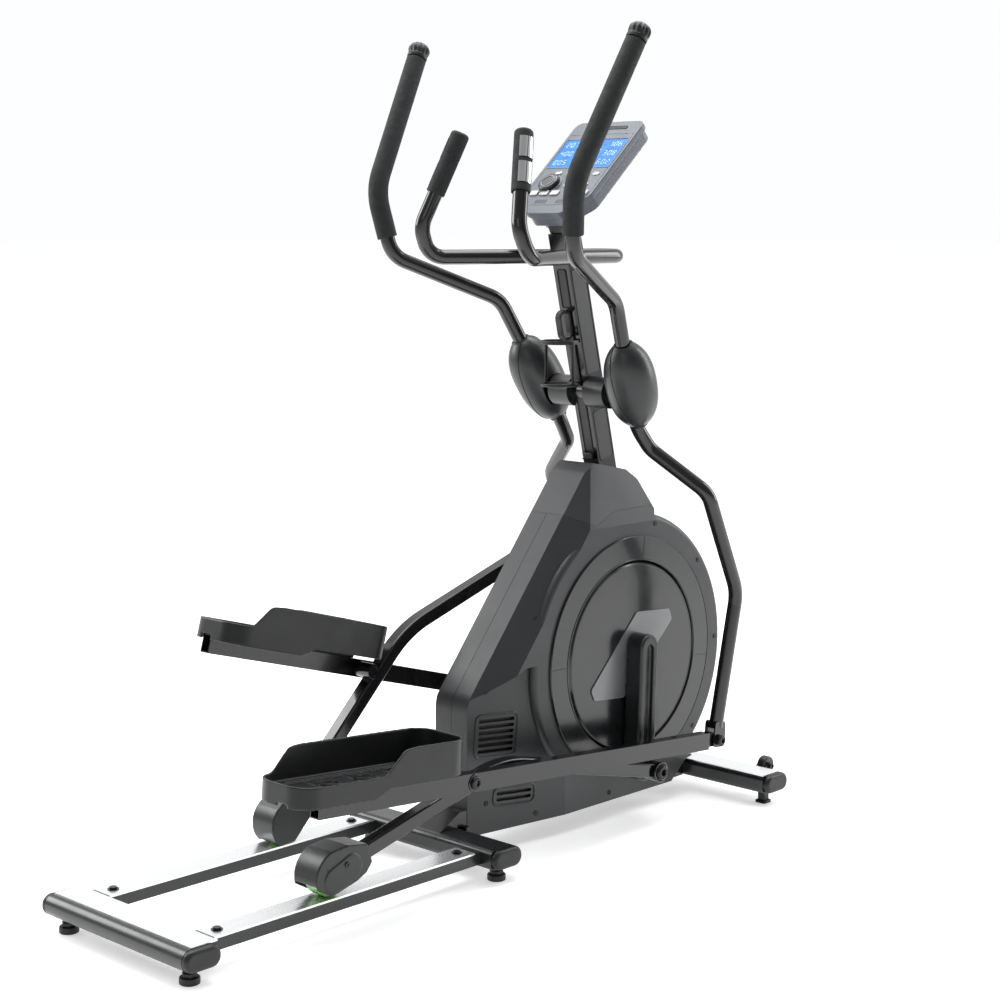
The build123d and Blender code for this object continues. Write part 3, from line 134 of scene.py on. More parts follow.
def material(name, colour, roughness, spread=0.12, patch=9.0, uneven=0.05, metallic=0.0, coat=0.0,
             grain=(900.0, 0.10), cell_grain=None, stretch=(1, 1, 1), specular=0.5, fleck=0.0):
    """Procedural finish: soft colour patches, uneven gloss and a fine grain or cell bump."""
    made = bpy.data.materials.new(name)
    made.use_nodes = True
    tree = made.node_tree
    shader = tree.nodes["Principled BSDF"]
    shader.inputs["Metallic"].default_value = metallic
    shader.inputs["Coat Weight"].default_value = coat
    shader.inputs["Coat Roughness"].default_value = COAT_ROUGHNESS
    shader.inputs["Specular IOR Level"].default_value = specular
    place = tree.nodes.new("ShaderNodeTexCoord")
    mapping = tree.nodes.new("ShaderNodeMapping")
    mapping.inputs["Scale"].default_value = stretch
    tree.links.new(place.outputs["Object"], mapping.inputs["Vector"])
    vector = mapping.outputs["Vector"]
    ramp = tree.nodes.new("ShaderNodeValToRGB")
    for stop, position, share in zip(ramp.color_ramp.elements, (PATCH_START, PATCH_END), (-spread, spread)):
        stop.position = position
        stop.color = tint(colour, 1 + share)
    tree.links.new(noise(tree, vector, patch), ramp.inputs["Fac"])
    colour_out = ramp.outputs["Color"]
    if fleck:
        mix = tree.nodes.new("ShaderNodeMix")
        mix.data_type = "RGBA"
        mix.inputs["B"].default_value = tint(colour, 1 + fleck)
        tree.links.new(remap(tree, noise(tree, vector, grain[0] * 0.6, 2.0), 0, 1, 0.55, 0.75),
                       mix.inputs["Factor"])
        tree.links.new(colour_out, mix.inputs["A"])
        colour_out = mix.outputs["Result"]
    tree.links.new(colour_out, shader.inputs["Base Color"])
    gloss = remap(tree, noise(tree, vector, patch * 3), roughness - uneven, roughness + uneven)
    tree.links.new(gloss, shader.inputs["Roughness"])
    bump = tree.nodes.new("ShaderNodeBump")
    bump.inputs["Distance"].default_value = BUMP_DEPTH
    scale, strength = cell_grain or grain
    bump.inputs["Strength"].default_value = strength
    height = cells(tree, vector, scale) if cell_grain else noise(tree, vector, scale, 3.0)
    tree.links.new(height, bump.inputs["Height"])
    tree.links.new(bump.outputs["Normal"], shader.inputs["Normal"])
    return made


def lit(made, colour, strength):
    """Give a material a faint glow of its own."""
    shader = made.node_tree.nodes["Principled BSDF"]
    shader.inputs["Emission Color"].default_value = tint(colour, 1.0)
    shader.inputs["Emission Strength"].default_value = strength
    return made


def screen_material():
    """Back-lit display: blue in soft patches."""
    made = material("display_blue", (0.012, 0.13, 0.42), 0.30, spread=0.35, patch=30.0, specular=0.15)
    return lit(made, (0.01, 0.17, 0.55), 0.22)


def glow(name, colour, strength):
    return lit(material(name, colour, 0.3, spread=0.10, patch=60.0), colour, strength)


LOOKS = {
    "frame_paint": material("gloss_black_paint", (0.005, 0.005, 0.006), 0.17, uneven=0.03, coat=0.1,
                            grain=(260.0, 0.03)),
    "crossbar_paint": material("crossbar_paint", (0.008, 0.009, 0.010), 0.30, coat=0.1, grain=(300.0, 0.05)),
    "bright_plate": material("polished_plate", (0.90, 0.91, 0.92), 0.24, spread=0.02, uneven=0.03,
                             metallic=0.9, grain=(60.0, 0.02), stretch=(4, 0.1, 4)),
    "track_metal": material("brushed_track", (0.86, 0.87, 0.88), 0.26, spread=0.03, uneven=0.03,
                            metallic=0.9, grain=(160.0, 0.012), stretch=(0.01, 1, 1)),
    "housing_plastic": material("housing_plastic", (0.017, 0.0185, 0.020), 0.42, spread=0.06, patch=4.0,
                                grain=(1500.0, 0.16)),
    "cap_plastic": material("cap_plastic", (0.024, 0.025, 0.028), 0.44, spread=0.06, patch=4.0,
                            grain=(1300.0, 0.30), fleck=0.35),
    "gloss_trim": material("gloss_black_plastic", (0.008, 0.009, 0.010), 0.20, spread=0.08, uneven=0.03,
                           coat=0.1, grain=(120.0, 0.01)),
    "silver_trim": material("silver_lacquer", (0.17, 0.175, 0.18), 0.36, spread=0.05, metallic=0.45,
                            grain=(1800.0, 0.10), fleck=0.5),
    "dark_plastic": material("dark_plastic", (0.008, 0.009, 0.010), 0.36, spread=0.10, patch=7.0,
                             grain=(1300.0, 0.22)),
    "end_cap_plastic": material("end_cap_plastic", (0.006, 0.0065, 0.007), 0.42, spread=0.12,
                                grain=(1100.0, 0.2), specular=0.4),
    "pedal_plastic": material("pedal_plastic", (0.0075, 0.008, 0.0088), 0.36, spread=0.15, patch=7.0,
                              grain=(1200.0, 0.30), specular=0.36),
    "foam": material("foam_rubber", (0.010, 0.0105, 0.0115), 0.75, spread=0.12, patch=25.0, uneven=0.08,
                     cell_grain=(900.0, 0.55), specular=0.35),
    "sensor_metal": material("sensor_chrome", (0.86, 0.87, 0.88), 0.10, spread=0.02, metallic=1.0,
                             grain=(90.0, 0.02)),
    "console_plastic": material("console_plastic", (0.060, 0.070, 0.088), 0.36, spread=0.06, patch=12.0,
                                grain=(1500.0, 0.15), fleck=0.15),
    "lens": screen_material(),
    "key_plastic": material("key_plastic", (0.62, 0.63, 0.62), 0.32, spread=0.04, grain=(900.0, 0.10)),
    "roller_poly": material("green_polyurethane", (0.16, 0.42, 0.08), 0.30, spread=0.12, patch=35.0,
                            grain=(500.0, 0.10)),
    "steel": material("machined_steel", (0.42, 0.43, 0.44), 0.28, metallic=1.0, grain=(700.0, 0.15)),
    "cast": material("cast_iron", (0.055, 0.055, 0.058), 0.48, metallic=0.6, cell_grain=(500.0, 0.4)),
    "belt_rubber": material("belt_rubber", (0.012, 0.012, 0.012), 0.7, grain=(700.0, 0.4)),
    "wheel_plastic": material("wheel_plastic", (0.013, 0.013, 0.014), 0.30, grain=(900.0, 0.15)),
}
BOLT_BLACK = material("black_oxide", (0.014, 0.014, 0.015), 0.24, metallic=0.5, grain=(600.0, 0.15))
SEAM_DARK = material("seam_shadow", (0.004, 0.004, 0.0045), 0.6)
PALE_LINE = material("pale_trim", (0.15, 0.16, 0.185), 0.4, spread=0.08)
PANEL_GREY = material("mast_panel", (0.020, 0.021, 0.023), 0.36, spread=0.05, grain=(1200.0, 0.18),
                      fleck=0.2)
DIGIT_WHITE = glow("display_digit", (0.62, 0.78, 0.92), 0.25)
BLOCK_YELLOW = glow("display_yellow", (0.72, 0.74, 0.05), 0.15)
BLOCK_GREEN = glow("display_green", (0.18, 0.52, 0.05), 0.15)

NODE_SLOT = {entry["node"]: entry["material_slot"] for entry in frame["record"]["subparts"]}
for node_name, node in NODES.items():
    node.data.materials.clear()
    node.data.materials.append(LOOKS[NODE_SLOT[node_name]])
NODES["fasteners"].data.materials[0] = BOLT_BLACK
for word in SIDES:
    NODES["swing_cover_" + word].data.materials[0] = LOOKS["dark_plastic"]


# ---------------------------------------------------------------- mesh tools
def piece(name, bm, body, finish, sharp=32.0, matrix=None):
    """Turn a bmesh into a named object that rides on a body. sharp is in degrees."""
    if matrix is not None:
        bmesh.ops.transform(bm, matrix=matrix, verts=bm.verts)
    bmesh.ops.recalc_face_normals(bm, faces=bm.faces)
    mesh = bpy.data.meshes.new(name)
    bm.to_mesh(mesh)
    bm.free()
    mesh.shade_smooth()
    mesh.set_sharp_from_angle(angle=math.radians(sharp))
    mesh.materials.append(finish)
    made = bpy.data.objects.new(name, mesh)
    bpy.context.scene.collection.objects.link(made)
    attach(made, body)
    return made


def axes(origin, z_axis, x_hint=Vector((0, 0, 1))):
    """Matrix at origin whose Z lies along z_axis and whose X leans to x_hint."""
    z = Vector(z_axis).normalized()
    x = (x_hint - z * x_hint.dot(z)).normalized()
    matrix = Matrix((x, z.cross(x), z)).transposed().to_4x4()
    matrix.translation = origin
    return matrix


def hex_factor(angle):
    """Radius of a hexagon at an angle, as a share of its half width."""
    return 1.0 / math.cos((angle % (math.pi / 3)) - math.pi / 6)


def circle(bm, radius, height, steps, matrix=None, shape=None):
    """Ring of vertices about Z. shape(angle) scales the radius."""
    ring = []
    for step in range(steps):
        angle = 2 * math.pi * step / steps
        r = radius * (shape(angle) if shape else 1.0)
        point = Vector((r * math.cos(angle), r * math.sin(angle), height))
        ring.append(bm.verts.new(matrix @ point if matrix else point))
    return ring


def skin_over(bm, rings, looped=False):
    """Faces from ring to ring: closed by caps, or looped back to the first ring."""
    pairs = list(zip(rings, rings[1:])) + ([(rings[-1], rings[0])] if looped else [])
    for low, high in pairs:
        for step in range(len(low)):
            after = (step + 1) % len(low)
            bm.faces.new((low[step], low[after], high[after], high[step]))
    if not looped:
        bm.faces.new(list(reversed(rings[0])))
        bm.faces.new(rings[-1])


def rounded_corners(half_u, half_v, radius, steps):
    """Points (u, v, corner centre u, corner centre v) round a rectangle with round corners."""
    points = []
    for quarter in range(4):
        cu = (half_u - radius) * (1 if quarter in (0, 3) else -1)
        cv = (half_v - radius) * (1 if quarter in (0, 1) else -1)
        for step in range(steps + 1):
            angle = math.pi / 2 * (quarter + step / steps)
            points.append((cu + radius * math.cos(angle), cv + radius * math.sin(angle), cu, cv))
    return points


def lathe(profile, steps=48, bm=None, shape=None, matrix=None):
    """Revolve (radius, height) points about Z. shape(i, angle) scales the radius of ring i."""
    bm = bm or bmesh.new()
    rings = []
    for i, (radius, height) in enumerate(profile):
        ring_shape = (lambda angle, i=i: shape(i, angle)) if shape else None
        rings.append(circle(bm, radius, height, steps, matrix, ring_shape))
    skin_over(bm, rings)
    return bm


def slab(size, radius, bm=None, matrix=None, segments=3, corner=None):
    """Rounded box; corner is the plan's corner radius when it is larger than the edge radius."""
    bm = bm or bmesh.new()
    x, y, z = (part / 2 for part in size)
    corner = corner or radius
    outline = rounded_corners(x, y, corner, 6)
    levels = []
    for step in range(segments, -1, -1):
        angle = math.pi / 2 * step / segments
        levels.append((radius * (1 - math.sin(angle)), z - radius * (1 - math.cos(angle))))
    stack = [(inset, -height) for inset, height in levels] + levels[::-1]
    rings = []
    for inset, height in stack:
        share = (corner - inset) / corner
        ring = []
        for px, py, cx, cy in outline:
            point = Vector((cx + (px - cx) * share, cy + (py - cy) * share, height))
            ring.append(bm.verts.new(matrix @ point if matrix else point))
        rings.append(ring)
    skin_over(bm, rings)
    return bm


SWEEP_HINT = Vector((0.13, 0.91, 0.4))          # a direction that no swept path follows


def sweep(points, radius, bm=None, steps=10, closed=False):
    """Round cord along a list of points, such as a bead or a moulded lip."""
    bm = bm or bmesh.new()
    rings = []
    count = len(points)
    for i, point in enumerate(points):
        before = points[i - 1] if (i or closed) else points[i]
        after = points[(i + 1) % count] if (i + 1 < count or closed) else points[i]
        rings.append(circle(bm, radius, 0, steps, axes(point, after - before, SWEEP_HINT)))
    skin_over(bm, rings, looped=closed)
    return bm


def copy_of(node_name, name):
    """Blender copy of a CAD node's mesh, linked under its own name."""
    made = bpy.data.objects.new(name, NODES[node_name].data.copy())
    bpy.context.scene.collection.objects.link(made)
    return made


def soften(made, voxel, rounds):
    """Add a voxel remesh and a smoothing, so that sharp edges come out softly rounded."""
    modifier = made.modifiers.new("voxels", "REMESH")
    modifier.mode = "VOXEL"
    modifier.voxel_size = voxel
    soft = made.modifiers.new("soft", "SMOOTH")
    soft.iterations = rounds


def stand_in(made, node_name, finish):
    """Apply the modifiers, give the finish, and let the object stand for its CAD node."""
    source = NODES[node_name]
    bpy.context.view_layer.update()
    graph = bpy.context.evaluated_depsgraph_get()
    final = bpy.data.meshes.new_from_object(made.evaluated_get(graph))
    made.modifiers.clear()
    made.data = final
    final.shade_smooth()
    final.materials.clear()
    final.materials.append(finish)
    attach(made, source["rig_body"])
    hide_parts(node_name)


def remeshed(node_name, name, voxel, rounds, finish):
    """Moulded copy of a CAD node."""
    made = copy_of(node_name, name)
    soften(made, voxel * (1), rounds)
    stand_in(made, node_name, finish)


def points_of(node_name):
    mesh = NODES[node_name].data
    found = np.zeros(len(mesh.vertices) * 3)
    mesh.vertices.foreach_get("co", found)
    return found.reshape(-1, 3)


def long_direction(points):
    """Unit vector of a point cloud's longest spread, turned to face forward."""
    centred = points - points.mean(axis=0)
    _, _, rows = np.linalg.svd(centred, full_matrices=False)
    direction = Vector(rows[0])
    return direction if direction.x > 0 else -direction


def side_matrix(origin, forward):
    """Local frame of a link that lies in the XZ plane: X forward, Y across, Z up."""
    x = Vector((forward.x, 0, forward.z)).normalized()
    y = Vector((0, 1, 0))
    matrix = Matrix((x, y, x.cross(y))).transposed().to_4x4()
    matrix.translation = origin
    return matrix


def joint_place(name):
    return Vector(JOINTS[name]["pos_m"])


def mirrored(point, side):
    return Vector((point.x, side * point.y, point.z))


FORK_TOP = 0.24                                 # the swing arms' forks lie below this height


def swing_turn(side_word):
    """Matrix from the right arm's rest angle, mirrored, to this side's rest angle."""
    pivot = joint_place("swing_arm_tilt_" + side_word)
    lean = {}
    for word in SIDES:
        cloud = points_of("swing_arm_" + word)
        fork = cloud[cloud[:, 2] < FORK_TOP].mean(axis=0)
        lean[word] = math.atan2(fork[0] - pivot.x, pivot.z - fork[2])
    spin = Matrix.Rotation(lean["right"] - lean[side_word], 4, "Y")
    return Matrix.Translation(pivot) @ spin @ Matrix.Translation(-pivot)


SWING_TURN = {word: swing_turn(word) for word in SIDES}


def swung(point, side_word):
    """Place of a point of the right arm, given mirrored and swung to the rest angle of a side."""
    return SWING_TURN[side_word] @ mirrored(point, SIDES[side_word])


# ---------------------------------------------------------------- shared small parts
def cap_profile(radius, height):
    """Domed cap with a rolled rim and, from its seventh ring on, a hexagonal socket."""
    shares = ((1, 0), (1, 0.45), (0.96, 0.7), (0.86, 0.9), (0.72, 1), (0.50, 1), (0.44, 0.93), (0.43, 0.30),
              (0.02, 0.28))
    return [(radius * across, height * up) for across, up in shares]


def socket_cap(name, place, outward, size, body):
    """Black cap with a hexagonal socket, facing outward. size is its radius and height."""
    socket_rings = (6, 7)
    bm = lathe(cap_profile(*size),
               shape=lambda i, angle: hex_factor(angle) * 0.92 if i in socket_rings else 1.0)
    piece(name, bm, body, BOLT_BLACK, matrix=axes(place, outward), sharp=40)


def flat_ring(radius, thickness, height, bm=None, matrix=None, steps=64):
    """Washer-like ring with its upper edges broken."""
    bm = bm or bmesh.new()
    inner = radius - thickness
    profile = [(inner, 0), (radius, 0), (radius, height * 0.6), (radius - height * 0.4, height),
               (inner + height * 0.4, height), (inner, height * 0.6)]
    skin_over(bm, [circle(bm, r, h, steps, matrix) for r, h in profile], looped=True)
    return bm


# ---------------------------------------------------------------- moulded parts from the CAD shapes
def moulded_parts():
    """Softly rounded copies of the moulded shells and covers."""
    for word in SIDES:
        remeshed("pedal_" + word, "foot_tray_" + word, 0.0017, 5, LOOKS["pedal_plastic"])
        remeshed("roller_hood_" + word, "roller_cover_" + word, 0.0013, 5, LOOKS["dark_plastic"])
    remeshed("end_caps", "crossbar_ends", 0.0016, 6, LOOKS["end_cap_plastic"])
    remeshed("crank_arms", "crank_covers", 0.0020, 5, LOOKS["dark_plastic"])
    remeshed("console_front", "console_face", 0.0013, 3, LOOKS["console_plastic"])
    remeshed("console_back", "console_rear", 0.0018, 5, LOOKS["console_plastic"])
    remeshed("console_bracket", "console_neck", 0.0022, 5, LOOKS["dark_plastic"])
    remeshed("bottle_cage", "bottle_holder", 0.0013, 4, LOOKS["end_cap_plastic"])


# ---------------------------------------------------------------- grips and knobs
FOAM_VOXEL, FOAM_VOXEL_QUICK = 0.0016, 0.003
FOAM_LUMP, FOAM_LUMP_DEPTH = 0.004, 0.0005


def foam_grips():
    """Foam sleeves with rolled ends and a slightly uneven skin."""
    for word in SIDES:
        foam_sleeve("hand_grip_" + word, "foam_grip_" + word)
    foam_sleeve("fixed_grips", "foam_grips_fixed")


def foam_sleeve(node_name, name):
    made = copy_of(node_name, name)
    soften(made, FOAM_VOXEL, 4)
    lumps = bpy.data.textures.new(name + "_lumps", "CLOUDS")
    lumps.noise_scale = FOAM_LUMP
    skin = made.modifiers.new("skin", "DISPLACE")
    skin.texture = lumps
    skin.texture_coords = "LOCAL"
    skin.strength = FOAM_LUMP_DEPTH
    stand_in(made, node_name, LOOKS["foam"])


def fluted_knobs():
    """Bulb with twisted flutes on each swinging handle, above a plain collar."""
    half_flutes, twist_all, first_twisted, last_ring = 6, 0.35, 5, 13
    profile = [(0.0168, -0.008), (0.0215, -0.008), (0.0220, -0.0065), (0.0220, -0.0015), (0.0208, -0.0005),
               (0.0205, 0.001), (0.0222, 0.004), (0.0236, 0.009), (0.0236, 0.014), (0.0218, 0.019),
               (0.0180, 0.0235), (0.0120, 0.0268), (0.0060, 0.0280), (0.0008, 0.0282)]
    depth = [0, 0, 0, 0, 0, 0.02, 0.09, 0.14, 0.16, 0.16, 0.14, 0.09, 0.03, 0]

    def shape(i, angle):
        twist = twist_all * max(0, i - first_twisted) / (last_ring - first_twisted)
        wave = abs(math.cos(half_flutes * (angle + twist)))
        return 1 - depth[i] * wave ** 3

    for word in SIDES:
        top, corner = swung(HANDLE_TOP, word), swung(HANDLE_CORNER, word)
        along = (top - corner).normalized()
        foot = axes(top + along * 0.0001, along)
        made = piece("fluted_knob_" + word, lathe(profile, 144, shape=shape), "swing_" + word,
                     LOOKS["end_cap_plastic"], matrix=foot, sharp=50)
        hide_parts("grip_knob_" + word)


# ---------------------------------------------------------------- housing
HOUSING_REAR, PANEL_LEAN = 0.008, 4             # metres; degrees
VENTS = ((0.084, 0.254, 0.112, 0.092), (0.132, 0.116, 0.112, 0.040))     # x, z, width, height
LOUVRE_BEAD = 0.0024
SCREW_CIRCLE, SCREW_ANGLES = 0.301, (75, 39, 0, -42)
BODY_SCREWS = ((0.166, 0.511), (0.030, 0.346), (0.185, 0.064), (0.048, 0.110), (0.420, 0.064))     # x, z
SCREW_PLUG = ((0.0052, 0), (0.0052, 0.0018), (0.0040, 0.0022), (0.0034, 0.0014), (0.0006, 0.0012))
SCREW_RIM = (0.0066, 0.0012, 0.0011)            # radius, width, height, as for every ring below
RING_LIPS, DISC_LIP = ((0.2195, 0.0032, 0.0014), (0.2706, 0.0018, 0.0009)), (0.2070, 0.0016, 0.0007)
RING_JOINT_RADIUS, RING_JOINT_ANGLES, RING_JOINT = 0.247, (82, 178, 262, -8), (0.044, 0.0008, 0.0012)
CRANK_PIN_CAP, CRANK_PIN_RING = (0.0175, 0.009), (0.0235, 0.0050, 0.0030)


def panel_place(x, z, side):
    """Frame on the housing's lower side panel: X forward along it, Y across it."""
    half = min(DRUM_HALF, NARROW_HALF + PANEL_FLARE * (x - HOUSING_REAR))
    turn = Matrix.Rotation(side * math.atan(PANEL_FLARE), 4, "Z")
    lean = Matrix.Rotation(math.radians(PANEL_LEAN), 4, "Y")
    return Matrix.Translation((x, side * half, z)) @ turn @ lean


def vent_frames():
    """Raised rounded frames round the louvre groups, with a dark sheet behind the slots as painted shade."""
    frame_corner, back_depth, back_inset, back_corner = 0.014, 0.0085, 0.006, 0.008
    bm, back = bmesh.new(), bmesh.new()
    for side in SIDES.values():
        for x, z, width, height in VENTS:
            place = panel_place(x, z, side)
            outline = rounded_corners(width / 2, height / 2, frame_corner, 8)
            sweep([place @ Vector((u, 0, v)) for u, v, _, _ in outline], LOUVRE_BEAD, bm, closed=True)
            # The dark sheet behind each vent is painted shade: it stands in for the shaded inside of the
            # housing.
            behind = Matrix.Translation((0, -side * back_depth, 0))
            inner = place @ behind @ Matrix.Rotation(math.pi / 2, 4, "X")
            slab((width - back_inset, height - back_inset, 0.002), 0.0008, back, inner, corner=back_corner)
    piece("louvre_frames", bm, "frame", LOOKS["dark_plastic"])
    piece("louvre_painted_shade", back, "frame", SEAM_DARK)


def housing_screws():
    """Dark screws with thin rims, set on the nearest point of the housing's skin."""
    bpy.context.view_layer.update()
    crank = joint_place("crank_turn")
    turns = [math.radians(angle) for angle in SCREW_ANGLES]
    spots = [(crank.x + SCREW_CIRCLE * math.cos(a), crank.z + SCREW_CIRCLE * math.sin(a)) for a in turns]
    outside, sunk = 0.12, 0.0005
    bm, rims = bmesh.new(), bmesh.new()
    for word, side in SIDES.items():
        shell = NODES["housing_" + word]
        for x, z in spots + list(BODY_SCREWS):
            _, point, normal, _ = shell.closest_point_on_mesh(Vector((x, side * outside, z)))
            place = axes(point - normal * sunk, normal)
            lathe(SCREW_PLUG, 32, bm, matrix=place)
            flat_ring(*SCREW_RIM, rims, place, steps=32)
    piece("screw_plugs", bm, "frame", SEAM_DARK)
    piece("screw_rims", rims, "frame", LOOKS["housing_plastic"])


def disc_details():
    """Raised lips on the dark ring and the disc, and the ring's four joints."""
    crank = joint_place("crank_turn")
    lips, turning, joints = bmesh.new(), bmesh.new(), bmesh.new()
    for side in SIDES.values():
        on_ring = axes(Vector((crank.x, side * RING_FACE, crank.z)), (0, side, 0))
        for lip in RING_LIPS:
            flat_ring(*lip, lips, on_ring, steps=160)
        on_disc = axes(Vector((crank.x, side * DISC_FACE, crank.z)), (0, side, 0))
        flat_ring(*DISC_LIP, turning, on_disc, steps=160)
        for angle in RING_JOINT_ANGLES:
            heading = math.radians(angle)
            reach = Vector((math.cos(heading), 0, math.sin(heading))) * RING_JOINT_RADIUS
            spot = Vector((crank.x, side * (RING_FACE + 0.0001), crank.z)) + reach
            turn = Matrix.Translation(spot) @ Matrix.Rotation(-heading, 4, "Y")
            slab(RING_JOINT, 0.0003, joints, turn, segments=1)
    piece("ring_lips", lips, "frame", LOOKS["gloss_trim"])
    piece("disc_lips", turning, "crank", LOOKS["gloss_trim"])
    piece("ring_joints", joints, "frame", SEAM_DARK)


def crank_bolts():
    """Cap and ring on each crank pin."""
    crank = joint_place("crank_turn")
    for word, side in SIDES.items():
        angle = math.radians(CRANK_ANGLE[word])
        pin = crank + Vector((CRANK_R * math.sin(angle), 0, -CRANK_R * math.cos(angle)))
        pin.y = side * CRANK_PIN_FACE
        socket_cap("crank_pin_cap_" + word, pin, (0, side, 0), CRANK_PIN_CAP, "roller_arm_" + word)
        pin_ring("crank_pin_ring_" + word, pin, side, CRANK_PIN_RING, "roller_arm_" + word)


# ---------------------------------------------------------------- link pivots
FORK_CAP, FORK_NUT, HINGE_CAP = (0.0125, 0.0055), (0.0105, 0.0050), (0.0135, 0.0045)
HINGE_RING, BARREL_RING = (0.0185, 0.0040, 0.0022), (0.0158, 0.0060, 0.0016)
BEARING_RINGS = ((0.0245, 0.0040, 0.0012), (0.0120, 0.0050, 0.0016))
HOOD_SCREW, HOOD_SCREW_SPOT = (0.0060, 0.0016), (0.026, 0.014)
# Start and end of each rib on a roller cover: forward and up from the axle.
HOOD_RIBS = (((-0.030, -0.012), (-0.018, 0.026)), ((-0.018, -0.016), (-0.006, 0.028)),
             ((-0.006, -0.020), (0.006, 0.030)))


def pin_ring(name, place, facing, size, body):
    """Painted ring round a pin; size is its radius, width and height, facing is +1 or -1 along Y."""
    ring = flat_ring(*size, matrix=axes(place, (0, facing, 0)))
    piece(name, ring, body, LOOKS["frame_paint"])


def pivot_caps():
    """Round caps with sockets where the pedal bars are hinged."""
    for word, side in SIDES.items():
        fork = joint_place("pedal_bar_tilt_" + word)
        forward = long_direction(points_of("pedal_bar_" + word))
        hinge = fork - Vector((forward.x, 0, forward.z)).normalized() * BAR_LENGTH

        def at(pivot, y):
            return Vector((pivot.x, side * y, pivot.z))

        out, arm, bar = (0, side, 0), "swing_" + word, "pedal_" + word
        socket_cap("fork_cap_" + word, at(fork, FORK_OUTER), out, FORK_CAP, arm)
        socket_cap("fork_nut_" + word, at(fork, FORK_INNER), (0, -side, 0), FORK_NUT, arm)
        socket_cap("hinge_cap_" + word, at(hinge, HINGE_CAP_FACE), out, HINGE_CAP, bar)
        pin_ring("hinge_ring_" + word, at(hinge, BAR_OUTER), side, HINGE_RING, bar)
        pin_ring("barrel_ring_" + word, at(hinge, BARREL_INNER), -side, BARREL_RING, "roller_arm_" + word)


def roller_hubs():
    """Bearing faces on both sides of each roller, and the screw and ribs of its cover."""
    for word, side in SIDES.items():
        axle = joint_place("roller_spin_" + word)
        bm = bmesh.new()
        for face in (-1, 1):
            spot = Vector((axle.x, side * (ROLLER_MIDDLE + face * ROLLER_HALF), axle.z))
            place = axes(spot, (0, side * face, 0))
            for ring in BEARING_RINGS:
                flat_ring(*ring, bm, place)
        piece("roller_bearing_" + word, bm, "roller_wheel_" + word, LOOKS["steel"])
        local = side_matrix(axle, arm_direction(word))
        spot = local @ Vector((HOOD_SCREW_SPOT[0], side * HOOD_SCREW_FACE, HOOD_SCREW_SPOT[1]))
        socket_cap("cover_screw_" + word, spot, (0, side, 0), HOOD_SCREW, "roller_arm_" + word)
        ribs = bmesh.new()
        for rib in HOOD_RIBS:
            start, end = (local @ Vector((u, side * HOOD_FACE, w)) for u, w in rib)
            sweep([start, start.lerp(end, 0.5), end], 0.0006, ribs, steps=6)
        piece("cover_ribs_" + word, ribs, "roller_arm_" + word, LOOKS["dark_plastic"])


STRAIGHT_RUN = 0.30                             # the roller arm is straight this far from its roller


def arm_direction(word):
    """Direction of the roller arm's straight run, next to its roller."""
    axle = joint_place("roller_spin_" + word)
    cloud = points_of("roller_arm_" + word)
    near = cloud[np.hypot(cloud[:, 0] - axle.x, cloud[:, 2] - axle.z) < STRAIGHT_RUN]
    return long_direction(near)


# ---------------------------------------------------------------- foot trays
def tray_frame(word):
    """Local frame of a foot tray along its bar, with the tray's rear end and top in it."""
    fork = joint_place("pedal_bar_tilt_" + word)
    forward = long_direction(points_of("pedal_bar_" + word))
    local = side_matrix(Vector((fork.x, 0, fork.z)), forward)
    cloud = points_of("pedal_" + word)
    inside = np.array(local.inverted()) @ np.vstack([cloud.T, np.ones(len(cloud))])
    return local, inside[0].min(), inside[2].max()


TREAD_DROP = 0.0653                             # tread lines below the tray's top
TREAD_LINES = {-0.052: 0.062, -0.044: 0.050, -0.036: 0.050, 0.036: 0.050, 0.044: 0.050, 0.052: 0.062}
TREAD_SPAN = 0.430                              # the lines keep as far from its end as from its start
TREAD_RINGS, RING_RADII, RING_STRETCH, RING_LIFT = (0.120, 0.215, 0.310), (0.011, 0.018), 1.3, 0.0022
TREAD_BEAD, RING_BEAD = 0.0013, 0.0011


def tray_treads():
    """Raised tread lines and rings on the tray floors."""
    for word, side in SIDES.items():
        local, rear, top = tray_frame(word)
        floor = top - TREAD_DROP
        bm = bmesh.new()
        for offset, start in TREAD_LINES.items():
            y = side * TRAY_MIDDLE + offset
            run = TREAD_SPAN - 2 * start
            points = [local @ Vector((rear + start + run * i / 14, y, floor)) for i in range(15)]
            sweep(points, TREAD_BEAD, bm, steps=8)
        for centre in TREAD_RINGS:
            for radius in RING_RADII:
                ring = []
                for step in range(36):
                    angle = 2 * math.pi * step / 36
                    u = rear + centre + RING_STRETCH * radius * math.cos(angle)
                    v = side * TRAY_MIDDLE + radius * math.sin(angle)
                    ring.append(local @ Vector((u, v, floor + RING_LIFT)))
                sweep(ring, RING_BEAD, bm, steps=8, closed=True)
        piece("tray_tread_" + word, bm, "pedal_" + word, LOOKS["pedal_plastic"])


# ---------------------------------------------------------------- swing arm covers
COVER_REACH = 0.0990                            # from the middle of a cover to its collars
COLLAR_TOP, COLLAR_LOW = (0.0215, 0.0050, 0.0030), (0.0200, 0.0035, 0.0030)
COVER_SCREW = ((0.0034, 0), (0.0034, 0.0010), (0.0028, 0.0014), (0.0004, 0.0014))
COVER_SCREWS = ((0.045, 14, 0.0505), (-0.052, 10, 0.0480), (0.010, 62, 0.0552))     # lift, turn, radius


